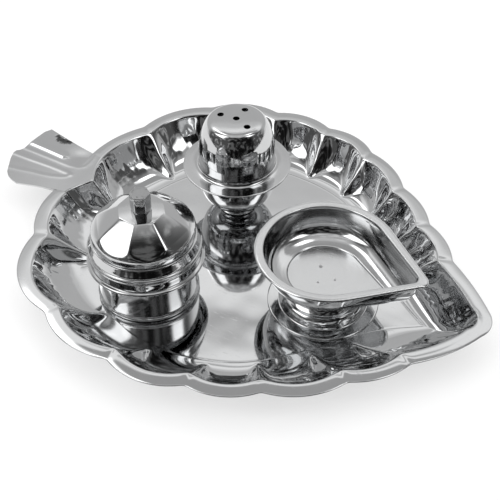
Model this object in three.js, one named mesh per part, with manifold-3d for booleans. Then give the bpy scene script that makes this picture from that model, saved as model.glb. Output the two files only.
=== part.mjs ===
// Kumkum plate: a pressed leaf tray that carries a lidded powder box, a shaker and an oil lamp.
// Millimetres, +Z up. X runs along the leaf from its stem to its tip, the table is at z = 0.
import * as THREE from "three";
import { mergeVertices } from "three/addons/utils/BufferGeometryUtils.js";
import Module from "manifold-3d";

const wasm = await Module();
wasm.setup();

// Leaf tray, measured from the middle of the joint between rim and stem
const TRAY_SHEET = 0.8;
const RIM_HEIGHT = 16.8;
const FLANGE_WIDTH = 6.0;
const STEM_ROOT = [0, 16];
// At the stem two lobes meet in a cusp of the flange's inner edge
const STEM_CUSP_Y = -2;
const STEM_CUSP_WIDTH = 12.3;
const STEM_CUSP_TAPER = 1.5;
// Share of the first pocket's edge that lies along the stem
const STEM_POCKET_SHARE = 0.35;
// The leaf's rounded tip
const TIP_NEAR = [210.1, -8.3];
const TIP_FAR = [208.9, 5.9];
const TIP_BULGE = 2.5;
// Each lobe of the rim ends at x, y and bulges out by the third number
const NEAR_LOBES = [
  [10.6, -45.4, 3.2],
  [43.9, -81.9, 9.6],
  [81.5, -91.1, 5.4],
  [116.0, -87.6, 5.2],
  [144.3, -76.4, 4.0],
  [172.0, -55.8, 4.4],
  [190.3, -35.6, 2.8],
  [TIP_NEAR[0], TIP_NEAR[1], 2.0],
];
const FAR_LOBES = [
  [10.6, 46.3, 2.6],
  [33.2, 77.7, 5.4],
  [65.2, 89.6, 5.6],
  [94.6, 90.1, 4.1],
  [121.9, 82.0, 4.2],
  [146.2, 64.3, 3.1],
  [166.6, 45.9, 2.6],
  [184.4, 28.0, 2.4],
  [TIP_FAR[0], TIP_FAR[1], 1.0],
];
// One side of the flat floor's edge; the other side mirrors it
const FLOOR_EDGE = [
  [28, 0],
  [32.5, 22],
  [44.5, 44.5],
  [67, 62],
  [95, 65],
  [122, 57],
  [146, 36],
  [166, 13],
  [184, 0],
];
const FLOOR_CENTRE_X = 97;
const WALL_STEPS = [0.2, 0.42, 0.64, 0.84];
const LOBE_FALL = 2.5;
const CUSP_FALL = 1.5;
const LOBE_POINTS = 9;
const STEM_GAP_POINTS = 3;

// Stem handle: a fan of shallow flutes that runs out of the flange
const STEM_LENGTH = 35;
const STEM_END_HALF_WIDTH = 21.5;
const STEM_OVERLAP = 4;
const STEM_CORNER_DRAW = 6;
const STEM_FLUTES = 4;
const STEM_FLUTE_HEIGHT = 0.9;
const STEM_ROWS = 6;
const STEM_COLUMNS = 32;

// Powder box
const BOX_PLACE = [65.9, -36.6];
const BOX_WALL = 0.8;
const BOX_RADIUS = 22.0;
const BOX_HEIGHT = 28.0;
const BOX_BEAD = 0.7;
const BOX_LIP = 1.4;
const LID_CLEARANCE = 0.5;
const LID_SKIRT_DEPTH = 7.6;
const LID_LIP = 1.1;
const LID_LEDGE = 2.0;
const LID_BEAD = 0.3;
const LID_BEAD_RISE = 0.8;
const LID_SHOULDER_RISE = 5.3;
const LID_SHOULDER_SWELL = 0.1;
const DOME_RADIUS = 22.5;
const DRUM_TOP_RADIUS = 20.9;
const DOME_HEIGHT = 19.4;
const FACETS = 8;
const FACET_FOOT_RISE = 9.5;
const FACET_KNEE_RADIUS = 20.6;
const FACET_KNEE_RISE = 12.0;
const PLATFORM_RADIUS = 9.8;
const DOME_SINK = 1;
const RIDGE_ANGLE = 16;
const KNOB_SIDES = 6;
const KNOB_RADIUS = 4.55;
const KNOB_HEIGHT = 8.4;
const KNOB_CHAMFER = 0.4;
const KNOB_ANGLE = 29;
const SCREW_RADIUS = 1.5;
const SCREW_REACH = 5.0;
const SCREW_HEAD_RADIUS = 3.0;
const SCREW_HEAD_HEIGHT = 1.8;
const SCREW_CLEARANCE = 0.3;

// Shaker
const SHAKER_PLACE = [72.9, 32.8];
const SHAKER_WALL = 0.7;
const SHAKER_FOOT_RADIUS = 9.3;
const SHAKER_FOOT_HEIGHT = 4.0;
const SHAKER_FOOT_DRAW = 0.9;
const SHAKER_CUP_RADIUS = 19.2;
const SHAKER_CUP_HEIGHT = 25.2;
const SHAKER_LIP = 2.0;
const SHAKER_NECK_HEIGHT = 4.6;
const CAP_CLEARANCE = 0.5;
const CAP_RADIUS = 18.1;
const CAP_BRIM_RADIUS = 25.6;
const CAP_HEIGHT = 26.3;
const CAP_TOP_RADIUS = 11.2;
const CAP_CROWN = 0.7;
const CAP_BRIM_FILLET = 1.4;
const CAP_HOLE_RADIUS = 1.55;
const CAP_HOLE_CIRCLE = 8.0;
const CAP_DRILL_LENGTH = 6.0;
const CAP_HOLE_ANGLES = [184, 89, -23];

// Oil lamp
const LAMP_PLACE = [137.9, -5.9];
const LAMP_WALL = 0.8;
const LAMP_ANGLE = 1;
const LAMP_DISC_RADIUS = 24.8;
const LAMP_FOOT_RADIUS = 19.2;
const LAMP_DISC_FILLET = 0.6;
const LAMP_NECK_RADIUS = 13.4;
const LAMP_FOOT_HEIGHT = 14.2;
const LAMP_BOWL_DEPTH = 15.0;
const LAMP_BOWL_RADIUS = 31.3;
const LAMP_BOWL_SHIFT = [-0.1, 1.2];
const LAMP_RIM_WIDTH = 4.1;
const LAMP_FLOOR_INSET = 15.0;
const LAMP_TIP_REACH = 45.9;
const LAMP_TIP_RADIUS = 4.0;
const LAMP_TIP_SHARPEN = 0.16;
const LAMP_ROUND_POINTS = 27;
const LAMP_TIP_POINTS = 6;

const TURN_SEGMENTS = 36;
const SCREW_SEGMENTS = 16;
const CAP_HOLE_SEGMENTS = 12;
const MERGE_DISTANCE = 1e-4;

// Steel finishes
const STEEL = {
  tray: { color: 0xd2d4d6, roughness: 0.1 },
  spun: { color: 0xcfd1d3, roughness: 0.14 },
  solid: { color: 0xc8cacc, roughness: 0.2 },
  screw: { color: 0xb4b6b8, roughness: 0.35 },
};

const degrees = THREE.MathUtils.degToRad;

// Merges shared points, drops slivers at the axis and turns the faces outward
function closedSolid(geometry) {
  geometry.deleteAttribute("normal");
  geometry.deleteAttribute("uv");
  const merged = mergeVertices(geometry, MERGE_DISTANCE);
  const source = merged.index.array;
  const kept = [];
  for (let i = 0; i < source.length; i += 3) {
    const [a, b, c] = [source[i], source[i + 1], source[i + 2]];
    if (a !== b && b !== c && c !== a) kept.push(a, b, c);
  }
  merged.setIndex(signedVolume(merged, kept) < 0 ? kept.reverse() : kept);
  return merged;
}

function signedVolume(geometry, index) {
  const position = geometry.attributes.position;
  const corners = [new THREE.Vector3(), new THREE.Vector3(), new THREE.Vector3()];
  let total = 0;
  for (let i = 0; i < index.length; i += 3) {
    corners.forEach((corner, k) => corner.fromBufferAttribute(position, index[i + k]));
    total += corners[0].dot(corners[1].cross(corners[2])) / 6;
  }
  return total;
}

function toManifold(geometry) {
  const mesh = new wasm.Mesh({
    numProp: 3,
    vertProperties: new Float32Array(geometry.attributes.position.array),
    triVerts: new Uint32Array(geometry.index.array),
  });
  return new wasm.Manifold(mesh);
}

function fromManifold(manifold) {
  const mesh = manifold.getMesh();
  const geometry = new THREE.BufferGeometry();
  geometry.setAttribute("position", new THREE.BufferAttribute(mesh.vertProperties, 3));
  geometry.setIndex(new THREE.BufferAttribute(mesh.triVerts, 1));
  return geometry;
}

function joined(first, ...others) {
  return fromManifold(others.reduce((sum, other) => sum.add(toManifold(other)), toManifold(first)));
}

function cut(first, ...others) {
  return fromManifold(others.reduce((rest, other) => rest.subtract(toManifold(other)), toManifold(first)));
}

function common(first, second) {
  return fromManifold(toManifold(first).intersect(toManifold(second)));
}

// A turned solid about Z from its profile of radius and height
function turned(profile, segments = TURN_SEGMENTS) {
  const points = profile.map(([radius, z]) => new THREE.Vector2(radius, z));
  const geometry = new THREE.LatheGeometry(points, segments);
  geometry.rotateX(Math.PI / 2);
  return closedSolid(geometry);
}

// Both sides of a sheet to the right of a profile's way, or to its left where the wall is negative
function sheetProfile(profile, wall) {
  const otherSide = profile.map(([across, z], i) => {
    const before = profile[Math.max(i - 1, 0)];
    const after = profile[Math.min(i + 1, profile.length - 1)];
    const into = new THREE.Vector2(across - before[0], z - before[1]).normalize();
    const out = new THREE.Vector2(after[0] - across, after[1] - z).normalize();
    const along = into.clone().add(out).normalize();
    const shift = wall / Math.max(along.dot(out.lengthSq() ? out : into), 0.5);
    return [across === 0 ? 0 : across + along.y * shift, z - along.x * shift];
  });
  return [...profile, ...otherSide.reverse()];
}

// Skins a stack of closed rings with equal counts and closes both ends with flat caps
function lofted(rings) {
  const count = rings[0].length;
  const positions = [];
  const index = [];
  const centreOf = (ring) => ring.reduce((sum, p) => sum.add(p), new THREE.Vector3()).divideScalar(count);
  rings.flat().forEach((p) => positions.push(p.x, p.y, p.z));
  const caps = [rings[0], rings.at(-1)].map(centreOf);
  caps.forEach((p) => positions.push(p.x, p.y, p.z));
  const firstCap = rings.length * count;
  for (let i = 0; i < count; i += 1) {
    const next = (i + 1) % count;
    index.push(firstCap, next, i);
    index.push(firstCap + 1, firstCap - count + i, firstCap - count + next);
    for (let k = 0; k + 1 < rings.length; k += 1) {
      const low = k * count;
      const high = low + count;
      index.push(low + i, low + next, high + next);
      index.push(low + i, high + next, high + i);
    }
  }
  const geometry = new THREE.BufferGeometry();
  geometry.setAttribute("position", new THREE.Float32BufferAttribute(positions, 3));
  geometry.setIndex(index);
  return closedSolid(geometry);
}

// Points along the arc from a to b that bulges to the right of its way, without its last point
function arcPoints(a, b, bulge, count) {
  const half = a.distanceTo(b) / 2;
  const radius = (half * half + bulge * bulge) / (2 * bulge);
  const way = b.clone().sub(a).normalize();
  const right = new THREE.Vector2(way.y, -way.x);
  const centre = a.clone().add(b).multiplyScalar(0.5).addScaledVector(right, bulge - radius);
  const spread = Math.asin(half / radius);
  const points = [];
  for (let i = 0; i < count; i += 1) {
    const angle = -spread + (2 * spread * i) / count;
    const point = centre.clone().addScaledVector(right, radius * Math.cos(angle));
    points.push(point.addScaledVector(way, radius * Math.sin(angle)));
  }
  return points;
}

// The rim's outline, anticlockwise from the near side of the stem; each point has its place in its lobe,
// from cusp to cusp, and the flange's width there
function rimOutline() {
  const outline = [];
  let from = new THREE.Vector2(STEM_ROOT[0], -STEM_ROOT[1]);
  const addLobe = ([x, y], bulge, phases = [0, 1]) => {
    const to = new THREE.Vector2(x, y);
    arcPoints(from, to, bulge, LOBE_POINTS).forEach((point, i) => {
      outline.push({ point, phase: THREE.MathUtils.lerp(...phases, i / LOBE_POINTS), width: FLANGE_WIDTH });
    });
    from = to;
  };
  NEAR_LOBES.forEach(([x, y, bulge], k) => addLobe([x, y], bulge, k > 0 ? [0, 1] : [STEM_POCKET_SHARE, 1]));
  addLobe(TIP_FAR, TIP_BULGE, [0, 0]);
  for (let k = FAR_LOBES.length - 1; k > 0; k -= 1) addLobe(FAR_LOBES[k - 1], FAR_LOBES[k][2]);
  addLobe(STEM_ROOT, FAR_LOBES[0][2], [0, 1 - STEM_POCKET_SHARE]);
  const addGap = (start, end, phases, widths) => {
    for (let i = 0; i < STEM_GAP_POINTS; i += 1) {
      const share = i / STEM_GAP_POINTS;
      const y = THREE.MathUtils.lerp(start, end, share);
      const point = new THREE.Vector2(STEM_ROOT[0], y);
      outline.push({ point, phase: THREE.MathUtils.lerp(...phases, share), width: widths(share) });
    }
  };
  const widening = (share) => FLANGE_WIDTH + (STEM_CUSP_WIDTH - FLANGE_WIDTH) * share ** STEM_CUSP_TAPER;
  addGap(STEM_ROOT[1], STEM_CUSP_Y, [1 - STEM_POCKET_SHARE, 1], widening);
  addGap(STEM_CUSP_Y, -STEM_ROOT[1], [0, STEM_POCKET_SHARE], (share) => widening(1 - share));
  return outline;
}

// Distance from the floor's centre to the floor's edge in a direction
function floorEdgeReach(direction) {
  const side = FLOOR_EDGE.map(([x, y]) => new THREE.Vector2(x, y));
  const curve = new THREE.SplineCurve(side);
  const target = Math.abs(direction);
  let low = 0;
  let high = 1;
  for (let step = 0; step < 40; step += 1) {
    const middle = (low + high) / 2;
    const point = curve.getPoint(middle);
    const angle = Math.atan2(Math.abs(point.y), point.x - FLOOR_CENTRE_X);
    if (angle > target) low = middle;
    else high = middle;
  }
  const edge = curve.getPoint(low);
  return Math.hypot(edge.x - FLOOR_CENTRE_X, edge.y);
}

// The tray's top side: rings from the rim's outer edge over the flange and down the fluted wall
function trayRings() {
  const outline = rimOutline();
  const count = outline.length;
  const centre = new THREE.Vector2(FLOOR_CENTRE_X, 0);
  const spokes = outline.map(({ point, phase, width }, i) => {
    const ray = point.clone().sub(centre);
    const reach = ray.length();
    ray.normalize();
    const before = outline[(i + count - 1) % count].point;
    const after = outline[(i + 1) % count].point;
    const edge = after.clone().sub(before).normalize();
    const slant = Math.max(Math.abs(ray.x * edge.y - ray.y * edge.x), 0.72);
    const floor = floorEdgeReach(Math.atan2(ray.y, ray.x));
    const fall = THREE.MathUtils.lerp(CUSP_FALL, LOBE_FALL, Math.sin(Math.PI * phase));
    return { ray, reach, flange: reach - width / slant, floor, fall };
  });
  const ring = (reachOf, heightOf) =>
    spokes.map((spoke) => {
      const place = centre.clone().addScaledVector(spoke.ray, reachOf(spoke));
      return new THREE.Vector3(place.x, place.y, heightOf(spoke));
    });
  const wallHeight = RIM_HEIGHT - TRAY_SHEET;
  return [
    ring((s) => s.reach, () => RIM_HEIGHT),
    ring((s) => s.flange, () => RIM_HEIGHT),
    ...WALL_STEPS.map((t) =>
      ring(
        (s) => THREE.MathUtils.lerp(s.flange, s.floor, t),
        (s) => TRAY_SHEET + wallHeight * (1 - t) ** s.fall,
      ),
    ),
    ring((s) => s.floor, () => TRAY_SHEET),
  ];
}

// The stem's sheet, a grid of points with flutes that fan out and deepen toward its end
function stemSolid() {
  const positions = [];
  const index = [];
  const rowStart = (row) => row * (STEM_COLUMNS + 1) * 2;
  for (let row = 0; row <= STEM_ROWS; row += 1) {
    const along = row / STEM_ROWS;
    for (let column = 0; column <= STEM_COLUMNS; column += 1) {
      const across = (2 * column) / STEM_COLUMNS - 1;
      const drawn = STEM_CORNER_DRAW * across ** 2 * along;
      const x = STEM_ROOT[0] + STEM_OVERLAP - (STEM_LENGTH + STEM_OVERLAP - drawn) * along;
      const halfWidth = THREE.MathUtils.lerp(STEM_ROOT[1] - 1, STEM_END_HALF_WIDTH, along);
      const flute = STEM_FLUTE_HEIGHT * Math.sin(across * STEM_FLUTES * Math.PI) * Math.min(along * 2, 1);
      const z = RIM_HEIGHT + flute * THREE.MathUtils.smoothstep(along, 0.1, 0.5);
      positions.push(x, across * halfWidth, z, x, across * halfWidth, z - TRAY_SHEET);
    }
  }
  const quad = (a, b, c, d) => index.push(a, b, c, a, c, d);
  for (let row = 0; row < STEM_ROWS; row += 1) {
    for (let column = 0; column < STEM_COLUMNS; column += 1) {
      const here = rowStart(row) + column * 2;
      const next = rowStart(row + 1) + column * 2;
      quad(here, next, next + 2, here + 2);
      quad(here + 1, here + 3, next + 3, next + 1);
    }
    const sides = [0, STEM_COLUMNS * 2];
    const [first, last] = sides.map((offset) => [rowStart(row) + offset, rowStart(row + 1) + offset]);
    quad(first[0], first[0] + 1, first[1] + 1, first[1]);
    quad(last[0], last[1], last[1] + 1, last[0] + 1);
  }
  for (let column = 0; column < STEM_COLUMNS; column += 1) {
    const root = rowStart(0) + column * 2;
    const end = rowStart(STEM_ROWS) + column * 2;
    quad(root, root + 2, root + 3, root + 1);
    quad(end, end + 1, end + 3, end + 2);
  }
  const geometry = new THREE.BufferGeometry();
  geometry.setAttribute("position", new THREE.Float32BufferAttribute(positions, 3));
  geometry.setIndex(index);
  return closedSolid(geometry);
}

function leafTray() {
  const top = trayRings();
  const under = top.map((ring) => ring.map((p) => new THREE.Vector3(p.x, p.y, p.z - TRAY_SHEET)));
  return joined(lofted([...top.reverse(), ...under]), stemSolid());
}

// Spun cup with a bead round its base and a flared lip that the lid rests on
function boxBody() {
  const mouth = BOX_RADIUS + BOX_LIP;
  const bead = BOX_RADIUS + BOX_BEAD;
  const profile = [
    [mouth, BOX_HEIGHT],
    [mouth, BOX_HEIGHT - BOX_LIP],
    [BOX_RADIUS, BOX_HEIGHT - 2 * BOX_LIP],
    [BOX_RADIUS, BOX_BEAD * 5],
    [bead - 0.3, BOX_BEAD * 4],
    [bead, BOX_BEAD * 2],
    [bead - 0.5, BOX_BEAD / 2],
    [BOX_RADIUS - 1.4, 0],
    [0, 0],
  ];
  const sheet = sheetProfile(profile, BOX_WALL);
  return turned([...sheet, sheet[0]]);
}

// The lid's skirt and shoulder from the lip's lower edge up; z is 0 at its seat
function lidSkirt() {
  const seat = BOX_RADIUS + BOX_LIP + LID_CLEARANCE;
  const band = seat + BOX_WALL;
  const lip = band + LID_LIP;
  const outside = [
    [0, -LID_SKIRT_DEPTH],
    [lip, -LID_SKIRT_DEPTH],
    [lip, BOX_WALL - LID_SKIRT_DEPTH],
    [band, 2 * BOX_WALL - LID_SKIRT_DEPTH],
    [band, -2 * LID_BEAD_RISE],
    [band + LID_BEAD, -LID_BEAD_RISE],
    [band + LID_BEAD, 0],
    [band, LID_BEAD_RISE],
    [(band + DOME_RADIUS) / 2 + LID_SHOULDER_SWELL, LID_SHOULDER_RISE * 0.6],
    [DOME_RADIUS, LID_SHOULDER_RISE],
    [0, LID_SHOULDER_RISE],
  ];
  const hollow = [
    [0, -LID_SKIRT_DEPTH - 1],
    [seat, -LID_SKIRT_DEPTH - 1],
    [seat, 0],
    [seat - LID_LEDGE, 0],
    [(seat + DOME_RADIUS - BOX_WALL) / 2, LID_SHOULDER_RISE * 0.5],
    [DOME_RADIUS - BOX_WALL, LID_SHOULDER_RISE - BOX_WALL],
    [0, LID_SHOULDER_RISE - BOX_WALL],
  ];
  return { outside: turned(outside), hollow: turned(hollow) };
}

// The dome above the shoulder, a round drum with eight bent flats; the hollow's is a wall smaller
function lidDome(inset) {
  const top = DOME_HEIGHT - inset;
  const base = LID_SHOULDER_RISE - DOME_SINK;
  const drum = turned([
    [0, base],
    [DOME_RADIUS - inset, base],
    [DOME_RADIUS - inset, FACET_FOOT_RISE],
    [DRUM_TOP_RADIUS - inset, FACET_KNEE_RISE - inset / 2],
    [DRUM_TOP_RADIUS - inset, top],
    [0, top],
  ]);
  const apothem = Math.cos(Math.PI / FACETS);
  const draw = inset / apothem;
  const foot = DOME_RADIUS / apothem - draw;
  const flats = turned(
    [
      [0, base],
      [foot, base],
      [foot, FACET_FOOT_RISE],
      [FACET_KNEE_RADIUS - draw, FACET_KNEE_RISE - inset / 2],
      [PLATFORM_RADIUS - draw, top],
      [0, top],
    ],
    FACETS,
  );
  flats.rotateZ(degrees(RIDGE_ANGLE) + Math.PI / 2);
  return common(drum, flats);
}

// A plain bore for the screw, from one height to another
function screwBore(from, to) {
  const radius = SCREW_RADIUS + SCREW_CLEARANCE;
  return turned([[0, from], [radius, from], [radius, to], [0, to]], SCREW_SEGMENTS);
}

function boxLid() {
  const skirt = lidSkirt();
  const outside = joined(skirt.outside, lidDome(0));
  const hollow = joined(skirt.hollow, lidDome(BOX_WALL));
  return cut(outside, hollow, screwBore(0, DOME_HEIGHT + 1));
}

// Six-sided knob with a blind bore; z is 0 where it stands on the lid
function boxKnob() {
  const prism = turned(
    [
      [0, 0],
      [KNOB_RADIUS, 0],
      [KNOB_RADIUS, KNOB_HEIGHT - KNOB_CHAMFER],
      [KNOB_RADIUS - KNOB_CHAMFER, KNOB_HEIGHT],
      [0, KNOB_HEIGHT],
    ],
    KNOB_SIDES,
  );
  prism.rotateZ(degrees(KNOB_ANGLE) + Math.PI / 2);
  return cut(prism, screwBore(-1, SCREW_REACH + SCREW_CLEARANCE));
}

// Screw that holds the knob from inside the lid; z is 0 at its head's bearing face
function knobScrew() {
  return turned(
    [
      [0, -SCREW_HEAD_HEIGHT],
      [SCREW_HEAD_RADIUS - SCREW_HEAD_HEIGHT / 2, -SCREW_HEAD_HEIGHT],
      [SCREW_HEAD_RADIUS, -SCREW_HEAD_HEIGHT / 2],
      [SCREW_HEAD_RADIUS, 0],
      [SCREW_RADIUS, 0],
      [SCREW_RADIUS, BOX_WALL + SCREW_REACH],
      [0, BOX_WALL + SCREW_REACH],
    ],
    SCREW_SEGMENTS,
  );
}

// Round-bellied cup on a foot ring, drawn in to a neck that the cap slips over
function shakerCup() {
  const neck = CAP_RADIUS - SHAKER_WALL - CAP_CLEARANCE;
  const foot = SHAKER_FOOT_HEIGHT;
  const belly = SHAKER_CUP_HEIGHT - foot;
  const waist = SHAKER_FOOT_RADIUS - SHAKER_FOOT_DRAW;
  const outside = [
    [SHAKER_FOOT_RADIUS, 0],
    [SHAKER_FOOT_RADIUS, SHAKER_WALL],
    [waist, foot / 2],
    [waist, foot],
    [SHAKER_CUP_RADIUS * 0.64, foot + belly * 0.05],
    [SHAKER_CUP_RADIUS * 0.8, foot + belly * 0.18],
    [SHAKER_CUP_RADIUS * 0.91, foot + belly * 0.39],
    [SHAKER_CUP_RADIUS * 0.97, foot + belly * 0.64],
    [SHAKER_CUP_RADIUS, SHAKER_CUP_HEIGHT - SHAKER_LIP],
    [SHAKER_CUP_RADIUS + SHAKER_LIP, SHAKER_CUP_HEIGHT - SHAKER_WALL],
    [SHAKER_CUP_RADIUS + SHAKER_LIP, SHAKER_CUP_HEIGHT],
    [neck, SHAKER_CUP_HEIGHT],
    [neck, SHAKER_CUP_HEIGHT + SHAKER_NECK_HEIGHT],
  ];
  const inside = [
    [neck - SHAKER_WALL, SHAKER_CUP_HEIGHT + SHAKER_NECK_HEIGHT],
    [neck - SHAKER_WALL, SHAKER_CUP_HEIGHT - SHAKER_NECK_HEIGHT],
    [SHAKER_CUP_RADIUS * 0.91 - SHAKER_WALL, foot + belly * 0.42],
    [SHAKER_CUP_RADIUS * 0.8 - SHAKER_WALL, foot + belly * 0.22],
    [SHAKER_CUP_RADIUS * 0.6 - SHAKER_WALL, foot + belly * 0.05 + SHAKER_WALL],
    [0, foot + SHAKER_WALL],
    [0, foot],
    [waist - SHAKER_WALL, foot],
    [waist - SHAKER_WALL, foot / 2],
    [SHAKER_FOOT_RADIUS - SHAKER_WALL, SHAKER_WALL],
    [SHAKER_FOOT_RADIUS - SHAKER_WALL, 0],
  ];
  return turned([...outside, ...inside, outside[0]]);
}

// Domed cap with a wide brim and its sprinkling holes; z is 0 under the brim
function shakerCap() {
  const rounding = CAP_RADIUS - CAP_TOP_RADIUS;
  const shoulder = CAP_HEIGHT - CAP_CROWN;
  const profile = [
    [0, CAP_HEIGHT],
    [CAP_TOP_RADIUS / 2, CAP_HEIGHT - CAP_CROWN * 0.3],
    [CAP_TOP_RADIUS, shoulder],
    [CAP_TOP_RADIUS + rounding * 0.27, shoulder - rounding * 0.13],
    [CAP_TOP_RADIUS + rounding * 0.5, shoulder - rounding * 0.4],
    [CAP_TOP_RADIUS + rounding * 0.7, shoulder - rounding * 0.92],
    [CAP_TOP_RADIUS + rounding * 0.88, shoulder - rounding * 1.62],
    [CAP_RADIUS, shoulder - rounding * 2.4],
    [CAP_RADIUS, SHAKER_WALL + CAP_BRIM_FILLET],
    [CAP_RADIUS + CAP_BRIM_FILLET * 0.3, SHAKER_WALL + CAP_BRIM_FILLET * 0.3],
    [CAP_RADIUS + CAP_BRIM_FILLET, SHAKER_WALL],
    [CAP_BRIM_RADIUS, SHAKER_WALL],
  ];
  const places = [[0, 0], ...CAP_HOLE_ANGLES.map((angle) => [CAP_HOLE_CIRCLE, degrees(angle)])];
  const drills = places.map(([reach, angle]) => {
    const radius = CAP_HOLE_RADIUS;
    const drill = new THREE.CylinderGeometry(radius, radius, CAP_DRILL_LENGTH, CAP_HOLE_SEGMENTS);
    drill.rotateX(Math.PI / 2);
    drill.translate(reach * Math.cos(angle), reach * Math.sin(angle), CAP_HEIGHT);
    return closedSolid(drill);
  });
  return cut(turned(sheetProfile(profile, SHAKER_WALL)), ...drills);
}

// A drop-shaped ring: a round end and a narrow tip, drawn in from the rim's outline by an inset
function dropRing(inset, z) {
  const radius = LAMP_BOWL_RADIUS - inset;
  const tipRadius = LAMP_TIP_RADIUS - inset * LAMP_TIP_SHARPEN;
  const tipCentre = LAMP_TIP_REACH - LAMP_TIP_RADIUS - inset;
  const turn = Math.acos((radius - tipRadius) / tipCentre);
  const ring = [];
  for (let i = 0; i <= LAMP_TIP_POINTS; i += 1) {
    const angle = turn * ((2 * i) / LAMP_TIP_POINTS - 1);
    ring.push(new THREE.Vector3(tipCentre + tipRadius * Math.cos(angle), tipRadius * Math.sin(angle), z));
  }
  for (let i = 0; i <= LAMP_ROUND_POINTS; i += 1) {
    const angle = turn + ((2 * Math.PI - 2 * turn) * i) / LAMP_ROUND_POINTS;
    ring.push(new THREE.Vector3(radius * Math.cos(angle), radius * Math.sin(angle), z));
  }
  return ring;
}

// Drop-shaped oil bowl with a flat rim; z is 0 under its floor
function lampBowl() {
  const rim = LAMP_WALL + LAMP_BOWL_DEPTH;
  const run = LAMP_FLOOR_INSET - LAMP_RIM_WIDTH;
  const profile = [
    [LAMP_FLOOR_INSET, LAMP_WALL],
    [LAMP_RIM_WIDTH + run * 0.72, LAMP_WALL + LAMP_BOWL_DEPTH * 0.055],
    [LAMP_RIM_WIDTH + run * 0.3, LAMP_WALL + LAMP_BOWL_DEPTH * 0.14],
    [LAMP_RIM_WIDTH + run * 0.18, LAMP_WALL + LAMP_BOWL_DEPTH * 0.25],
    [LAMP_RIM_WIDTH + run * 0.11, LAMP_WALL + LAMP_BOWL_DEPTH * 0.5],
    [LAMP_RIM_WIDTH, rim],
    [0, rim],
  ];
  const bowl = lofted(sheetProfile(profile, -LAMP_WALL).map(([inset, z]) => dropRing(inset, z)));
  bowl.rotateZ(degrees(LAMP_ANGLE));
  return bowl;
}

// Spun pedestal on a wide thin disc; its closed top carries the bowl
function lampFoot() {
  const top = LAMP_FOOT_HEIGHT;
  const ring = LAMP_FOOT_RADIUS - LAMP_NECK_RADIUS;
  const profile = [
    [0, top],
    [LAMP_NECK_RADIUS + ring * 0.1, top],
    [LAMP_NECK_RADIUS, top * 0.75],
    [LAMP_NECK_RADIUS + ring * 0.14, top * 0.56],
    [LAMP_NECK_RADIUS + ring * 0.41, top * 0.42],
    [LAMP_NECK_RADIUS + ring * 0.74, top * 0.35],
    [LAMP_NECK_RADIUS + ring * 0.95, top * 0.22],
    [LAMP_FOOT_RADIUS, LAMP_WALL + LAMP_DISC_FILLET],
    [LAMP_FOOT_RADIUS + LAMP_DISC_FILLET, LAMP_WALL],
    [LAMP_DISC_RADIUS, LAMP_WALL],
  ];
  return turned(sheetProfile(profile, LAMP_WALL));
}

function piece(name, geometry, finish) {
  const material = new THREE.MeshStandardMaterial({ ...STEEL[finish], metalness: 1 });
  const mesh = new THREE.Mesh(geometry, material);
  mesh.name = name;
  return mesh;
}

function standing(place) {
  const group = new THREE.Group();
  group.position.set(place[0], place[1], TRAY_SHEET);
  return group;
}

function powderBox() {
  const box = standing(BOX_PLACE);
  const lid = new THREE.Group();
  const knob = piece("box_knob", boxKnob(), "solid");
  const screw = piece("knob_screw", knobScrew(), "screw");
  lid.position.z = BOX_HEIGHT;
  knob.position.z = DOME_HEIGHT;
  screw.position.z = DOME_HEIGHT - BOX_WALL;
  lid.add(piece("box_lid", boxLid(), "spun"), knob, screw);
  box.add(piece("box_body", boxBody(), "spun"), lid);
  return box;
}

function shaker() {
  const group = standing(SHAKER_PLACE);
  const cap = piece("shaker_cap", shakerCap(), "spun");
  cap.position.z = SHAKER_CUP_HEIGHT;
  group.add(piece("shaker_cup", shakerCup(), "spun"), cap);
  return group;
}

function lamp() {
  const group = standing(LAMP_PLACE);
  const bowl = piece("lamp_bowl", lampBowl(), "spun");
  bowl.position.set(...LAMP_BOWL_SHIFT, LAMP_FOOT_HEIGHT);
  group.add(piece("lamp_foot", lampFoot(), "spun"), bowl);
  return group;
}

// The set, moved so that the origin is under the middle of the tray
const plate = new THREE.Group();
plate.add(piece("leaf_tray", leafTray(), "tray"), powderBox(), shaker(), lamp());
const middle = new THREE.Box3().setFromObject(plate).getCenter(new THREE.Vector3());
plate.position.set(-middle.x, -middle.y, 0);

export default plate;
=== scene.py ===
"""Kumkum plate: a polished leaf tray with a powder box, a shaker and an oil lamp.

Run as a script inside Blender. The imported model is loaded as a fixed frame, and each
operator builds one piece of the visible object around it. Lengths in tables and formulas
are millimetres from a piece's own base; a finished mesh is in metres in the frame's axes.
"""

import math
from functools import partialmethod

import bmesh
import bpy
import numpy as np
from bpy.props import FloatProperty, FloatVectorProperty, PointerProperty
from mathutils import Matrix, Vector


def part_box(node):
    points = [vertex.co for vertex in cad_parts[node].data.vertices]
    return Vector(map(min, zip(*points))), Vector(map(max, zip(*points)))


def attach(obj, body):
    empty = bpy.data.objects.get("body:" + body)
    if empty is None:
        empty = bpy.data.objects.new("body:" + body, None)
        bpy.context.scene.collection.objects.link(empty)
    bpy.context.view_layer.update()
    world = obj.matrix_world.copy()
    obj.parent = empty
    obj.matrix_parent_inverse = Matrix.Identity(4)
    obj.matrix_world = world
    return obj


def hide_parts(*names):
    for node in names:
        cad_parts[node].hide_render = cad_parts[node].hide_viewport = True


bl_info = {
    "name": "Kumkum Plate",
    "version": (1, 0, 0),
    "blender": (4, 5, 0),
    "location": "View3D > Sidebar > Kumkum Plate",
    "description": "Builds a polished steel leaf tray with its powder box, shaker and oil lamp",
    "category": "Object",
}

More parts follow.
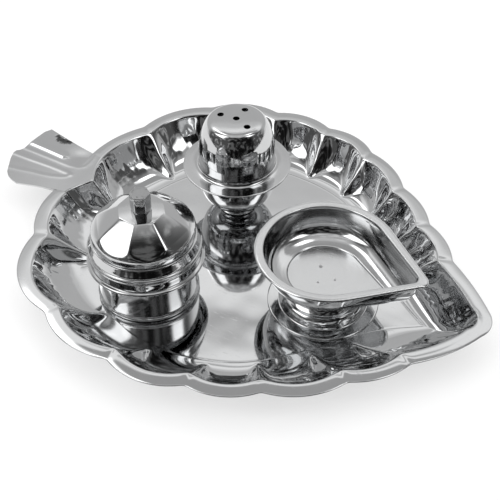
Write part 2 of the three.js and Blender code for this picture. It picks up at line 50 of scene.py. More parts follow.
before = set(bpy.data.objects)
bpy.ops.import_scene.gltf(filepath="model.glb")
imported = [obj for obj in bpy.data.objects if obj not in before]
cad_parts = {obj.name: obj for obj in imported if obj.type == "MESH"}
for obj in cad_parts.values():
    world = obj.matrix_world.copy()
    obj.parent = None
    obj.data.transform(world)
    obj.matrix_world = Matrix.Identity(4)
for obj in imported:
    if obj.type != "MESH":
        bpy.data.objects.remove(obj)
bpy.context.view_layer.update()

MM = 0.001
TAU = 2 * math.pi
MERGE = 1e-7
FAR_OFF = 1e3
SHARP, STEM_SHARP = math.radians(40), math.radians(50)


# Places taken from the frame


def node_base(node):
    """Middle of a node's box in x and y, and its lowest z, in millimetres."""
    low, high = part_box(node)
    return np.array([(low.x + high.x) / 2, (low.y + high.y) / 2, low.z]) / MM


def node_size(node):
    """Size of a node's box along x, y and z, in millimetres."""
    low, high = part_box(node)
    return np.array(high - low) / MM


# Paths


def smoothstep(low, high, value):
    """Smooth rise from 0 at low to 1 at high; a high below low gives the fall."""
    share = np.clip((value - low) / (high - low), 0, 1)
    return share * share * (3 - 2 * share)


def soft_least(values, soft):
    """The smallest of the last axis, taken softly: -soft * log(sum of exp(-value / soft))."""
    least = values.min(-1)
    return least - soft * np.log(np.exp(-(values - least[..., None]) / soft).sum(-1))


def path_axes(path):
    """Unit vectors along a path (n, 2) and to its right."""
    step = np.gradient(path, axis=0)
    along = step / np.linalg.norm(step, axis=1)[:, None]
    return along, np.stack([along[:, 1], -along[:, 0]], 1)


def smooth_path(points, per=6):
    """Centripetal Catmull-Rom curve through points (n, 2), with per steps in each span."""
    p = np.asarray(points, float)
    p = np.concatenate([[2 * p[0] - p[1]], p, [2 * p[-1] - p[-2]]])
    knots = np.concatenate([[0], np.cumsum(np.linalg.norm(np.diff(p, axis=0), axis=1) ** 0.5)])
    t0, t1, t2, t3 = (knots[k : len(p) - 3 + k][:, None, None] for k in range(4))
    p0, p1, p2, p3 = (p[k : len(p) - 3 + k][:, None, :] for k in range(4))
    share = (np.arange(per) / per)[None, :, None]
    t = t1 + (t2 - t1) * share

    def mix(a, b, ta, tb):
        return (tb - t) / (tb - ta) * a + (t - ta) / (tb - ta) * b

    a1, a2, a3 = mix(p0, p1, t0, t1), mix(p1, p2, t1, t2), mix(p2, p3, t2, t3)
    b1, b2 = mix(a1, a2, t0, t2), mix(a2, a3, t1, t3)
    return np.concatenate([mix(b1, b2, t1, t2).reshape(-1, 2), [p[-2]]])


def sheet_outline(middle, wall):
    """The closed outline of a sheet about its middle line: one side, a round end, the other.

    A side is the middle line moved by half the wall along its own normal.
    """
    along, across = path_axes(middle)
    one, other = middle + across * wall / 2, middle - across * wall / 2
    turn = np.linspace(0, math.pi, 7)[1:-1, None]
    end = middle[-1] + (np.cos(turn) * across[-1] + np.sin(turn) * along[-1]) * wall / 2
    outline = np.concatenate([one, end, other[::-1]])
    outline[0, 0] = outline[-1, 0] = 0
    outline[:, 0] = np.maximum(outline[:, 0], 0)
    return outline


def sampled(points, share):
    """The point at each share (0 to 1) of the length of a path through points."""
    points = np.asarray(points, float)
    way = np.concatenate([[0], np.cumsum(np.linalg.norm(np.diff(points, axis=0), axis=1))])
    return np.stack([np.interp(share * way[-1], way, points[:, k]) for k in (0, 1)], -1)


def distance_to(points, x, y):
    """Distance of every place (x, y) to the nearest leg of a path."""
    best = np.full(x.shape, FAR_OFF)
    for a, b in zip(np.asarray(points[:-1], float), np.asarray(points[1:], float)):
        leg = b - a
        share = np.clip(((x - a[0]) * leg[0] + (y - a[1]) * leg[1]) / (leg @ leg), 0, 1)
        best = np.minimum(best, np.hypot(x - a[0] - share * leg[0], y - a[1] - share * leg[1]))
    return best


def smooth_ring(values, width):
    """A closed ring of values blurred by a raised cosine over an odd number of places."""
    kernel = np.hanning(width) / np.hanning(width).sum()
    reach = width // 2
    return np.convolve(np.concatenate([values[-reach:], values, values[:reach]]), kernel, "valid")


# Meshes


def placed(name, data):
    """A new object with its data, in the scene."""
    made = bpy.data.objects.new(name, data)
    bpy.context.scene.collection.objects.link(made)
    return made


def closed_mesh(name, points, faces):
    """A piece from an array of points in millimetres and lists of faces, turned outward."""
    mesh = bpy.data.meshes.new(name)
    mesh.from_pydata((np.asarray(points) * MM).tolist(), [], faces)
    work = bmesh.new()
    work.from_mesh(mesh)
    bmesh.ops.remove_doubles(work, verts=work.verts, dist=MERGE)
    bmesh.ops.dissolve_degenerate(work, edges=work.edges, dist=MERGE)
    bmesh.ops.recalc_face_normals(work, faces=work.faces)
    if work.calc_volume(signed=True) < 0:
        bmesh.ops.reverse_faces(work, faces=work.faces)
    work.to_mesh(mesh)
    work.free()
    mesh.shade_smooth()
    return placed(name, mesh)


def ring_stack(rings, start_pole=None, end_pole=None):
    """Points and faces of closed rings, an array (row, place, xyz), each joined to the next.

    Point number = row times count plus place; a pole is one more point joined by a fan.
    """
    rows, count = rings.shape[:2]
    place = np.arange(count)
    after = (place + 1) % count
    low = (np.arange(rows - 1) * count)[:, None]
    quads = np.stack([low + place, low + after, low + count + after, low + count + place], -1)
    faces = quads.reshape(-1, 4).tolist()
    points = [rings.reshape(-1, 3)]
    extra = rows * count
    for pole, first in ((start_pole, 0), (end_pole, (rows - 1) * count)):
        if pole is None:
            continue
        points.append(np.asarray(pole, float)[None])
        fan = np.stack([np.full(count, extra), first + after, first + place], -1)
        faces += (fan if first == 0 else fan[:, ::-1]).tolist()
        extra += 1
    return np.concatenate(points), faces


def unit_circle(count):
    """The angles of a circle's points, and the points (cos a, sin a)."""
    angle = np.arange(count) * TAU / count
    return angle, np.stack([np.cos(angle), np.sin(angle)], 1)


def raised(flat, height):
    """Rings (row, place, xyz) from flat ones (row, place, xy) and heights (row, 1) or (row, place)."""
    return np.concatenate([flat, np.broadcast_to(height, flat.shape[:2])[..., None]], -1)


def level_rings(shape, size, height):
    """Rings with the outline shape (place, xy) times a size: (size x, size y, height)."""
    return raised(size[..., None] * shape, height)


def round_rings(outline, count=192):
    """Level circles at the radius and height of each point of an outline."""
    outline = np.asarray(outline)
    return level_rings(unit_circle(count)[1], outline[:, :1], outline[:, 1:])


def spun(name, path, wall, base):
    """A piece of spun sheet: the path (radius, height) of its middle, from the axis outward."""
    outline = sheet_outline(smooth_path(path), wall)
    ends = outline[[0, -1], 1]
    points, faces = ring_stack(round_rings(outline[1:-1]), [0, 0, ends[0]], [0, 0, ends[1]])
    return closed_mesh(name, points + base, faces)


def hoop(name, outline, base):
    """A turned ring: a closed outline (radius, height) that doesn't meet the axis."""
    points, faces = ring_stack(round_rings([*outline, outline[0]]))
    piece = closed_mesh(name, points + base, faces)
    piece.data.set_sharp_from_angle(angle=SHARP)
    return piece


def drill(piece, centre, radius, reach=6.0):
    """Cuts a round hole along z through a piece about a point, by a boolean that is applied."""
    rings = round_rings([(radius, -reach), (radius, reach)], 48)
    points, faces = ring_stack(rings, [0, 0, -reach], [0, 0, reach])
    rod = closed_mesh("drill", points + centre, faces)
    cut = piece.modifiers.new("hole", "BOOLEAN")
    cut.operation, cut.solver, cut.object = "DIFFERENCE", "EXACT", rod
    bpy.context.view_layer.update()
    graph = bpy.context.evaluated_depsgraph_get()
    mesh = bpy.data.meshes.new_from_object(piece.evaluated_get(graph))
    piece.modifiers.clear()
    piece.data = mesh
    bpy.data.objects.remove(rod)
    piece.data.set_sharp_from_angle(angle=SHARP)


# Shader helpers


class Value:
    """A socket or number of a shader tree, on which arithmetic adds Math nodes."""

    def __init__(self, tree, source):
        self.tree, self.source = tree, source

    def node(self, kind, settings=None, output=0, **inputs):
        """Adds any node: its settings first, then values or links by socket name, or iN by number."""
        made = self.tree.nodes.new(kind)
        for key, value in (settings or {}).items():
            setattr(made, key, value)
        for key, value in inputs.items():
            numbered = key[0] == "i" and key[1:].isdigit()
            socket = made.inputs[int(key[1:]) if numbered else key.replace("_", " ")]
            if isinstance(value, Value):
                value = value.source
            if isinstance(value, bpy.types.NodeSocket):
                self.tree.links.new(value, socket)
            else:
                socket.default_value = value
        return Value(self.tree, made.outputs[output])

    def maths(self, operation, *others):
        inputs = {f"i{k}": other for k, other in enumerate((self, *others))}
        return self.node("ShaderNodeMath", {"operation": operation}, **inputs)

    __add__ = partialmethod(maths, "ADD")
    __sub__ = partialmethod(maths, "SUBTRACT")
    __mul__ = partialmethod(maths, "MULTIPLY")
    __truediv__ = partialmethod(maths, "DIVIDE")
    __pow__ = partialmethod(maths, "POWER")

    def __rsub__(self, other):
        return Value(self.tree, other) - self

    def step(self, low, high):
        """Smooth rise from 0 at low to 1 at high; a high below low gives the fall."""
        settings = {"interpolation_type": "SMOOTHSTEP"}
        return self.node("ShaderNodeMapRange", settings, Value=self, From_Min=low, From_Max=high)

    def vector(self, operation, other):
        """Vector Math of this vector and another."""
        return self.node("ShaderNodeVectorMath", {"operation": operation}, i0=self, i1=other)

    def parts(self):
        """The x, y and z of this vector."""
        split = self.node("ShaderNodeSeparateXYZ", Vector=self)
        return [Value(self.tree, socket) for socket in split.source.node.outputs]

    def noise(self, scale, detail):
        """Noise from 0 to 1 at the place that this vector gives."""
        return self.node("ShaderNodeTexNoise", Vector=self, Scale=scale, Detail=detail)


def new_material(name):
    """A material with its tree, its Principled shader and the place in the object's axes."""
    material = bpy.data.materials.new(name)
    material.use_nodes = True
    tree = material.node_tree
    place = Value(tree, tree.nodes.new("ShaderNodeTexCoord").outputs["Object"])
    return material, tree, tree.nodes["Principled BSDF"], place


# Steel: scales of its noises per metre, the values between which a noise turns into a feature,
# and how much each feature changes the tone, the height and the blur
CLOUD, GRAIN, WAVE, FINE_RING, BROAD_RING, SCRATCH, SPECK = 55.0, 900.0, 38.0, 2600.0, 520.0, 160.0, 700.0
SCRATCH_STRETCH = (1.0, 14.0, 9.0)
SCRATCH_EDGES, SWIRL_EDGES, SPECK_EDGES = (0.64, 0.74), (0.45, 0.65), (0.58, 0.68)
PLAIN_TONE, CLOUD_TONE, GRAIN_TONE, SWIRL_TONE = 0.97, 0.1, 0.03, 0.22
RING_DEPTH, SWIRL_DEPTH, SCRATCH_DEPTH, BUMP_DEPTH = 0.02, 0.03, -0.004, 0.4 * MM
CLOUD_BLUR, CLOUD_CLEAR, SCRATCH_BLUR, RING_BLUR = 0.14, 0.45, 0.06, 0.05
MARK_RAGGED, MARK_CORE, MARK_PIT, MARK_DULL = 0.8, 0.35, 0.2, 0.15
COARSE_START, COARSE_FULL, COARSE_DARK, COARSE_DULL = 0.4 * MM, 0.1 * MM, 0.25, 0.28
SPECK_DARK, SPECK_PIT = 0.55, 0.12
# Bands at a piece's floor and rim, paler as painted light and duller: their soft edge, paleness, dullness
LIT_BAND_EDGE, LIT_BAND_PALE, LIT_BAND_DULL = 0.2 * MM, 0.17, 0.15


def steel(name, centre, rough, rings=0.0, waves=0.5, marks=(), stain=0.0, brushed=0.0, tint="steel",
          top=None, dull_lit_bands=None):
    """Polished steel: a faint wave in the sheet, turning rings, fine scratches and clouding.

    centre is the axis of the rings in millimetres, and tint names the colour. marks are spots
    (x, y, radius) from the centre, darker by stain. Above the height top the surface is coarse
    and speckled. Below the lower and above the higher of two given heights it is duller, and
    paler as painted light.
    """
    material, tree, shader, place = new_material(name)
    x, y, z = place.vector("SUBTRACT", (centre[0] * MM, centre[1] * MM, 0.0)).parts()
    cloud, grain, wave = place.noise(CLOUD, 3.0), place.noise(GRAIN, 2.0), place.noise(WAVE, 1.0)
    radius = (x * x + y * y) ** 0.5
    line = place.node("ShaderNodeCombineXYZ", X=radius, Z=z)
    fine_ring, broad_ring = line.noise(FINE_RING, 2.0), line.noise(BROAD_RING, 1.0)
    scratch = place.vector("MULTIPLY", SCRATCH_STRETCH).noise(SCRATCH, 3.0).step(*SCRATCH_EDGES)
    swirl = (broad_ring - 0.5) * cloud.step(*SWIRL_EDGES) * rings
    ring = (fine_ring - 0.5) * rings
    tone = (cloud - 0.5) * CLOUD_TONE + (grain - 0.5) * GRAIN_TONE + swirl * SWIRL_TONE + PLAIN_TONE
    height = (wave - 0.5) * waves + ring * RING_DEPTH + swirl * SWIRL_DEPTH + scratch * SCRATCH_DEPTH
    clouded = (cloud - CLOUD_CLEAR).maths("MAXIMUM", 0.0)
    blur = clouded * CLOUD_BLUR + scratch * SCRATCH_BLUR + ring * RING_BLUR + rough
    for mark_x, mark_y, size in np.array(marks).reshape(-1, 3) * MM:
        reach = ((x - mark_x) ** 2.0 + (y - mark_y) ** 2.0) ** 0.5
        spot = (reach + (grain - 0.5) * (size * MARK_RAGGED)).step(size, size * MARK_CORE)
        tone = tone * (1 - spot * stain)
        height, blur = height - spot * MARK_PIT, blur + spot * MARK_DULL
    if top is not None:
        coarse = z.step(top * MM - COARSE_START, top * MM - COARSE_FULL)
        speck = place.noise(SPECK, 3.0)
        tone = tone * (1 - coarse * COARSE_DARK) * (1 - coarse * speck.step(*SPECK_EDGES) * SPECK_DARK)
        height, blur = height + coarse * speck * SPECK_PIT, blur + coarse * COARSE_DULL
    # Floor and rim bands: duller, and paler as painted light
    if dull_lit_bands is not None:
        below, above = (level * MM for level in dull_lit_bands)
        lit_band = z.step(below + LIT_BAND_EDGE, below) + z.step(above - LIT_BAND_EDGE, above)
        tone, blur = tone * (lit_band * LIT_BAND_PALE + 1), blur + lit_band * LIT_BAND_DULL
    red, green, blue = (tone * part for part in getattr(bpy.context.scene.kumkum_finish, tint))
    shade = place.node("ShaderNodeCombineColor", Red=red, Green=green, Blue=blue)
    bump = place.node("ShaderNodeBump", Strength=1.0, Distance=BUMP_DEPTH, Height=height)
    for socket, value in (("Base Color", shade), ("Roughness", blur), ("Normal", bump)):
        tree.links.new(value.source, shader.inputs[socket])
    shader.inputs["Metallic"].default_value = 1.0
    shader.inputs["Anisotropic"].default_value = brushed
    return material


def finish_piece(piece, material, body, slot, *nodes):
    """Gives a piece its material and the body it moves with, and hides the nodes it replaces; slot is not
    used.
    """
    piece.data.materials.append(material)
    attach(piece, body)
    if nodes:
        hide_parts(*nodes)


# Settings


def length(name, text, value):
    return FloatProperty(name=name, description=text, default=value * MM, min=0.0, unit="LENGTH", precision=5)


def turn_angle(name, text, degrees):
    return FloatProperty(name=name, description=text, default=math.radians(degrees), subtype="ANGLE")


def colour(name, text, value):
    return FloatVectorProperty(name=name, description=text, default=value, subtype="COLOR", min=0.0, max=1.0)


def brightness(name, text, value):
    return FloatProperty(name=name, description=text, default=value, min=0.0)


class TraySettings(bpy.types.PropertyGroup):
    sheet: length("Sheet", "Thickness of the tray's sheet", 0.8)
    flange: length("Flange", "Width of the flat rim", 6.0)
    crown: length("Crown", "Rise of the flange's middle over its edges", 0.08)
    hem: length("Hem", "Radius of the rounded edge of the rim", 0.4)
    droop: length("Droop", "Fall of the flange toward its outer edge on the near side", 0.17)
    dent: length("Dents", "Depth of the uneven marks that the press left in the wall", 0.07)
    stem: length("Stem", "Length of the fan-shaped stem", 35.0)
    rib: length("Rib", "Height of the stem's long rib", 0.3)
    crease: length("Crease", "Height of the stem's creases", 0.05)
    panel: length("Panel", "Depth of the panel pressed into the stem", 0.07)
    trough: length("Trough", "Depth of the stem between its panel and its far crease", 0.05)
    dish: length("Dish", "Depth of the hollow where the stem meets the flange", 0.3)


class BoxSettings(bpy.types.PropertyGroup):
    wall: length("Wall", "Thickness of the box's and lid's sheet", 0.8)
    ridge: length("Ridge", "Rounding of the edges between the dome's flats", 0.2)
    swell: length("Swell", "Rise of a flat's middle over its ends", 0.25)
    knob: length("Knob", "Distance of the knob's corners from its axis", 4.55)
    knob_edge: length("Knob edge", "Rounding of the knob's edges", 0.16)
    ridge_angle: turn_angle("Ridge angle", "Turn of the dome's first ridge about its axis", 16.0)
    knob_angle: turn_angle("Knob angle", "Turn of the knob's first edge about its axis", 29.0)


class ShakerSettings(bpy.types.PropertyGroup):
    wall: length("Wall", "Thickness of the shaker's sheet", 0.7)
    hole: length("Hole", "Radius of a sprinkling hole", 1.55)
    circle: length("Hole circle", "Distance of the outer holes from the middle one", 8.0)


class LampSettings(bpy.types.PropertyGroup):
    wall: length("Wall", "Thickness of the lamp's sheet", 0.8)
    rim: length("Rim", "Width of the bowl's flat rim", 4.1)
    bowl_angle: turn_angle("Bowl angle", "Turn of the bowl's tip about the foot", 1.0)


class FinishSettings(bpy.types.PropertyGroup):
    steel: colour("Steel", "Colour of the polished sheet", (0.63, 0.635, 0.64))
    knob: colour("Knob", "Colour of the turned knob", (0.58, 0.585, 0.59))
    floor: colour("Floor", "Colour of the studio floor", (0.95, 0.95, 0.95))
    softbox: brightness("Softbox", "Brightness of the softboxes", 2.2)
    overhead: brightness("Overhead", "Brightness of the light over the floor", 0.95)


# Leaf tray: places from the joint of rim and stem, which is the leaf's own origin

STEM_ROOT_HALF = 16.0
STEM_CUSP_Y = -2.0
STEM_CUSP_WIDTH = 12.3
TIP_NEAR = (210.1, -8.3)
TIP_FAR = (208.9, 5.9)
TIP_MIDDLE = (212, 0)
TIP_BULGE = 2.5

# Ends of the rim's lobes, each with the bulge of the lobe that ends there
NEAR_LOBES = (
    (10.6, -45.4, 3.2), (43.9, -81.9, 9.6), (81.5, -91.1, 5.4), (116.0, -87.6, 5.2),
    (144.3, -76.4, 4.0), (172.0, -55.8, 4.4), (190.3, -35.6, 2.8), (*TIP_NEAR, 2.0),
)
FAR_LOBES = (
    (10.6, 46.3, 2.6), (33.2, 77.7, 5.4), (65.2, 89.6, 5.6), (94.6, 90.1, 4.1), (121.9, 82.0, 4.2),
    (146.2, 64.3, 3.1), (166.6, 45.9, 2.6), (184.4, 28.0, 2.4), (*TIP_FAR, 1.0),
)
FLOOR_EDGE = (
    (28, 0), (32.5, 22), (44.5, 44.5), (67, 62), (95, 65), (122, 57), (146, 36), (166, 13), (184, 0),
)
FLOOR_MIDDLE = np.array([97.0, 0.0])
RIM = 16.0
FLOOR_STEP = 0.12
LOBE_STEPS, GAP_STEPS = 40, 22

# The wall: powers of its fall in the lobes and on the ridges, and the half width of a ridge
LOBE_POWER, RIDGE_POWER = 2.85, 1.35
RIDGE_TOP, RIDGE_FOOT = 8.2, 1.2
PLEAT_WIDTH, PLEAT_DEPTH = 1.6, 0.1
RIM_BEND = 0.0005
LEAST_SLANT = 0.72
DENT_WAVES, DENT_SEED = 14, 11

# Rings inside the floor's edge: (distance inward, share of the step), then shares of the floor
FLOOR_FOOT = np.array([(0.2, 0.85), (0.4, 0.4), (0.6, 0.1), (0.9, 0.0)])
FLOOR_RINGS = np.array([0.97, 0.93, 0.85, 0.7, 0.5, 0.3, 0.12])


def lobe_arc(start, end, bulge, count):
    """Circular arc from start to end that bulges to the right of its way by bulge.

    Radius = (half chord squared + bulge squared) / (2 bulge).
    """
    start, end = np.array(start), np.array(end)
    half = np.linalg.norm(end - start) / 2
    radius = (half * half + bulge * bulge) / (2 * bulge)
    way = (end - start) / (2 * half)
    right = np.array([way[1], -way[0]])
    spread = math.asin(half / radius)
    angle = (-spread + 2 * spread * np.arange(count) / count)[:, None]
    centre = (start + end) / 2 + right * (bulge - radius)
    return centre + right * radius * np.cos(angle) + way * radius * np.sin(angle)


def cusp_taper(y):
    """1 at the flange's cusp in the middle of the stem, falling evenly to 0 at the stem's sides."""
    side = np.where(y > STEM_CUSP_Y, STEM_ROOT_HALF - STEM_CUSP_Y, STEM_ROOT_HALF + STEM_CUSP_Y)
    return np.clip(1 - np.abs(y - STEM_CUSP_Y) / side, 0, 1)


def rim_outline():
    """The rim's outer edge, each point's way along it to the nearest cusp, and the flange's
    extra width, which tapers from a point in the middle of the stem."""
    far_lobes = FAR_LOBES[::-1]
    stops = [(0.0, -STEM_ROOT_HALF), *(lobe[:2] for lobe in NEAR_LOBES + far_lobes), (0.0, STEM_ROOT_HALF)]
    bulges = [*(lobe[2] for lobe in NEAR_LOBES), TIP_BULGE, *(lobe[2] for lobe in far_lobes)]
    arcs = [lobe_arc(a, b, bulge, LOBE_STEPS) for a, b, bulge in zip(stops, stops[1:], bulges)]
    far_gap = np.linspace(STEM_ROOT_HALF, STEM_CUSP_Y, GAP_STEPS, endpoint=False)
    near_gap = np.linspace(STEM_CUSP_Y, -STEM_ROOT_HALF, GAP_STEPS, endpoint=False)
    gap = np.concatenate([far_gap, near_gap])
    edge = np.concatenate([*arcs, np.stack([np.zeros(len(gap)), gap], 1)])
    leg = np.linalg.norm(np.roll(edge, -1, 0) - edge, axis=1)
    way, whole = np.concatenate([[0], np.cumsum(leg)[:-1]]), leg.sum()
    tip_start = len(NEAR_LOBES) * LOBE_STEPS
    starts = np.arange(1, len(bulges)) * LOBE_STEPS
    cusps = [k for k in starts if k not in (tip_start, tip_start + LOBE_STEPS)]
    cusps.append(len(edge) - GAP_STEPS)
    apart = np.abs(way[:, None] - way[cusps])
    to_cusp = np.minimum(apart, whole - apart).min(1)
    extra = np.zeros(len(edge))
    extra[-len(gap):] = cusp_taper(gap) ** 1.5
    return edge, to_cusp, extra


def floor_reach(direction):
    """Distance from the floor's middle to its pointed edge in each direction."""
    side = smooth_path(FLOOR_EDGE, 24) - FLOOR_MIDDLE
    angle = np.arctan2(side[:, 1], side[:, 0])
    order = np.argsort(angle)
    return np.interp(np.abs(direction), angle[order], np.hypot(side[:, 0], side[:, 1])[order])


def tray_origin(sizes):
    """The leaf's own origin in the frame, from the node's box."""
    edge = rim_outline()[0]
    base = node_base("leaf_tray")
    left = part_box("leaf_tray")[0].x / MM
    middle = (edge[:, 1].min() + edge[:, 1].max()) / 2
    return np.array([left + sizes.stem / MM, base[1] - middle, base[2] + sizes.sheet / MM])


def press_marks(way, t):
    """Uneven dents left by the press: the mean of sin(a way + b t + c) for many a, b and c."""
    rng = np.random.default_rng(DENT_SEED)
    a, b, c = (rng.uniform(*ends, DENT_WAVES) for ends in ((0.35, 1.5), (-28, 28), (0, TAU)))
    return np.sin(way[:, None] * a + t[..., None] * b + c).sum(-1) / math.sqrt(DENT_WAVES)


def tray_surface(sizes):
    """Points and faces of the tray: its underside outward, then its upper side inward.

    Along a ray from the floor's middle: the flange is a low arch, the wall's height is
    the rim's times (1 - t) to a power that is low at the cusps, which leaves ridges there
    that narrow toward the floor, and high in the lobes, which hollows them.
    """
    edge, to_cusp, extra = rim_outline()
    edge = np.stack([smooth_ring(edge[:, k], 7) for k in (0, 1)], 1)
    ray = edge - FLOOR_MIDDLE
    reach = np.linalg.norm(ray, axis=1)
    ray = ray / reach[:, None]
    along = np.roll(edge, -1, 0) - np.roll(edge, 1, 0)
    along = along / np.linalg.norm(along, axis=1)[:, None]
    way = np.cumsum(np.linalg.norm(np.roll(edge, -1, 0) - edge, axis=1))
    slant = np.abs(ray[:, 0] * along[:, 1] - ray[:, 1] * along[:, 0])
    slant = smooth_ring(np.maximum(slant, LEAST_SLANT), 11)
    flange_width = sizes.flange / MM
    flange = reach - (flange_width + (STEM_CUSP_WIDTH - flange_width) * extra) / slant
    floor = floor_reach(np.arctan2(ray[:, 1], ray[:, 0]))
    tip = smoothstep(34, 8, np.linalg.norm(edge - TIP_MIDDLE, axis=1))
    stem = smoothstep(17.5, 14.5, np.abs(edge[:, 1])) * (edge[:, 0] < 20)
    hem, crown, sheet = sizes.hem / MM, sizes.crown / MM, sizes.sheet / MM
    pleat = np.exp(-((to_cusp / PLEAT_WIDTH) ** 2)) * (1 - tip) * PLEAT_DEPTH
    droop = sizes.droop / MM * smoothstep(-30, -70, edge[:, 1])

    def rows(distance, height):
        """Rows of points at a distance from the floor's middle and a height."""
        return raised(FLOOR_MIDDLE + ray * distance[..., None], height)

    turn = np.linspace(-math.pi / 2, math.pi / 2, 9)[:, None]
    hem_rows = rows(reach - hem * (1 - np.cos(turn)), RIM - hem - droop + hem * np.sin(turn))
    share = np.linspace(0, 1, 13)[1:, None]
    arch = (crown * 4 * share * (1 - share) - pleat * share**0.5) * (1 - stem)
    flange_rows = rows((reach - hem) * (1 - share) + flange * share, RIM + arch - droop * (1 - share))
    starts = (np.linspace(0, 0.06, 9)[1:], np.linspace(0.06, 0.95, 62)[1:], [0.965, 0.98, 0.99, 1])
    t = np.concatenate(starts)[:, None]
    ridge_width = (RIDGE_TOP - RIDGE_FOOT) * (1 - t) + RIDGE_FOOT
    ridge = np.exp(-((to_cusp / ridge_width) ** 2)) * (1 - tip) * (1 - smoothstep(0.8, 1, t))
    power = LOBE_POWER - (LOBE_POWER - RIDGE_POWER) * ridge
    least, most = np.sqrt([RIM_BEND, 1 + RIM_BEND])
    bent = (np.sqrt(t * t + RIM_BEND) - least) / (most - least)
    height = FLOOR_STEP + (RIM - FLOOR_STEP - pleat * (1 - stem)) * (1 - bent) ** power
    dents = smoothstep(0.02, 0.12, t) * (smoothstep(0.62, 0.3, t) + 0.8 * ridge)
    height = height + sizes.dent / MM * press_marks(way, t) * dents
    wall_rows = rows(flange * (1 - t) + floor * t, height)
    foot_rows = rows(floor - FLOOR_FOOT[:, :1], FLOOR_STEP * FLOOR_FOOT[:, 1:])
    floor_rows = rows(floor * FLOOR_RINGS[:, None], 0.0)
    upper = np.concatenate([hem_rows, flange_rows, wall_rows, foot_rows, floor_rows])
    lower = upper[8:][::-1][::3] - (0, 0, sheet)
    return ring_stack(np.concatenate([lower, upper]), [*FLOOR_MIDDLE, -sheet], [*FLOOR_MIDDLE, 0.0])


class KUMKUM_OT_tray(bpy.types.Operator):
    """Presses the leaf tray: hemmed flange, scooped wall and flat mirror floor"""

    bl_idname = "kumkum.tray"
    bl_label = "Leaf Tray"

    def execute(self, context):
        sizes = context.scene.kumkum_tray
        points, faces = tray_surface(sizes)
        tray = closed_mesh("leaf_tray_sheet", points + tray_origin(sizes), faces)
        material = steel("tray_steel_polished", node_base("leaf_tray"), 0.04)
        finish_piece(tray, material, "tray", "tray_steel", "leaf_tray")
        return {"FINISHED"}


# Stem: its sides, its wavy end, and the lines of its rib, creases and pressed panel

STEM_FAR_SIDE = ((0.4, 15.6), (-8.6, 17.2), (-15.7, 18.7), (-23.4, 20.5), (-29.7, 22.0))
STEM_NEAR_SIDE = ((1.2, -15.6), (-9.8, -17.9), (-19.2, -20.5))
STEM_END = (
    (-29.7, 22.0), (-31.6, 18.6), (-32.3, 13.0), (-32.5, 7.6), (-32.4, 3.0), (-33.4, 1.0), (-34.9, -0.4),
    (-35.0, -2.6), (-33.5, -6.7), (-30.8, -11.5), (-28.5, -15.6), (-26.3, -17.8), (-23.5, -19.3),
    (-19.2, -20.5),
)
STEM_RIB = ((-31.5, 8.3), (-21.3, 7.6), (-11.2, 6.8))
STEM_FAR_CREASE = (
    (-32.5, 3.4), (-16.5, 2.9), (-4.1, 2.4), (0.4, 2.9), (2.9, 5.3), (3.4, 8.7), (2.7, 12.3), (1.5, 15.7),
)
STEM_PANEL_FAR = ((-35.0, -2.4), (-24.8, -2.5), (-12.7, -2.2), (-6.5, -2.4), (-1.5, -2.7), (0.3, -3.5))
STEM_PANEL_NEAR = (
    (-30.0, -12.7), (-23.8, -11.7), (-18.5, -10.6), (-13.0, -9.8), (-7.8, -8.8), (-3.1, -7.1),
    (-0.7, -5.5), (0.3, -3.5),
)
STEM_MARKS = ((-23.3, 18.9, 2.0), (-21.0, 17.3, 3.0), (-18.0, 17.0, 3.2), (-15.4, 17.6, 2.4))
RIB_NEAR, RIB_FAR, CREASE_WIDTH = 1.4, 2.0, 1.15
DISH_X, DISH_Y, DISH_LONG, DISH_WIDE = -2.8, 10.8, 6.0, 4.6

# Where the stem starts over the flange: at its sides, beside them and at the flange's cusp
STEM_START, STEM_INNER, STEM_CUSP_REACH = 0.6, 5.3, 6.2
STEM_LIFT = 0.02


def stem_rise(x, y, sizes):
    """Height of the stem over the flange: a rib, two creases, a pressed panel and a hollow.

    A crease or rib is height * exp(-(distance / width)^2); the panel's depth rises smoothly
    from its two edges; the hollow is a round dish beside the flange.
    """
    steep = np.where(y < np.interp(x, *zip(*STEM_RIB)), RIB_NEAR, RIB_FAR)
    rise = sizes.rib / MM * np.exp(-((distance_to(STEM_RIB, x, y) / steep) ** 2))
    for line in (STEM_FAR_CREASE, STEM_PANEL_FAR, STEM_PANEL_NEAR):
        rise = rise + sizes.crease / MM * np.exp(-((distance_to(line, x, y) / CREASE_WIDTH) ** 2))
    sides = (STEM_FAR_CREASE[:4], STEM_PANEL_FAR, STEM_PANEL_NEAR)
    crease, far, near = (np.interp(x, *zip(*side)) for side in sides)
    inside = smoothstep(0.2, 2.2, far - y) * smoothstep(0.2, 2.2, y - near) * (x < STEM_PANEL_FAR[-1][0])
    between = smoothstep(0.3, 2.0, y - far) * smoothstep(0.3, 2.0, crease - y) * smoothstep(0, -6, x)
    dish = np.exp(-(((x - DISH_X) / DISH_LONG) ** 2) - ((y - DISH_Y) / DISH_WIDE) ** 2)
    rise = rise - sizes.panel / MM * inside - sizes.trough / MM * between
    return rise - sizes.dish / MM * dish * smoothstep(3.2, 0.5, x)


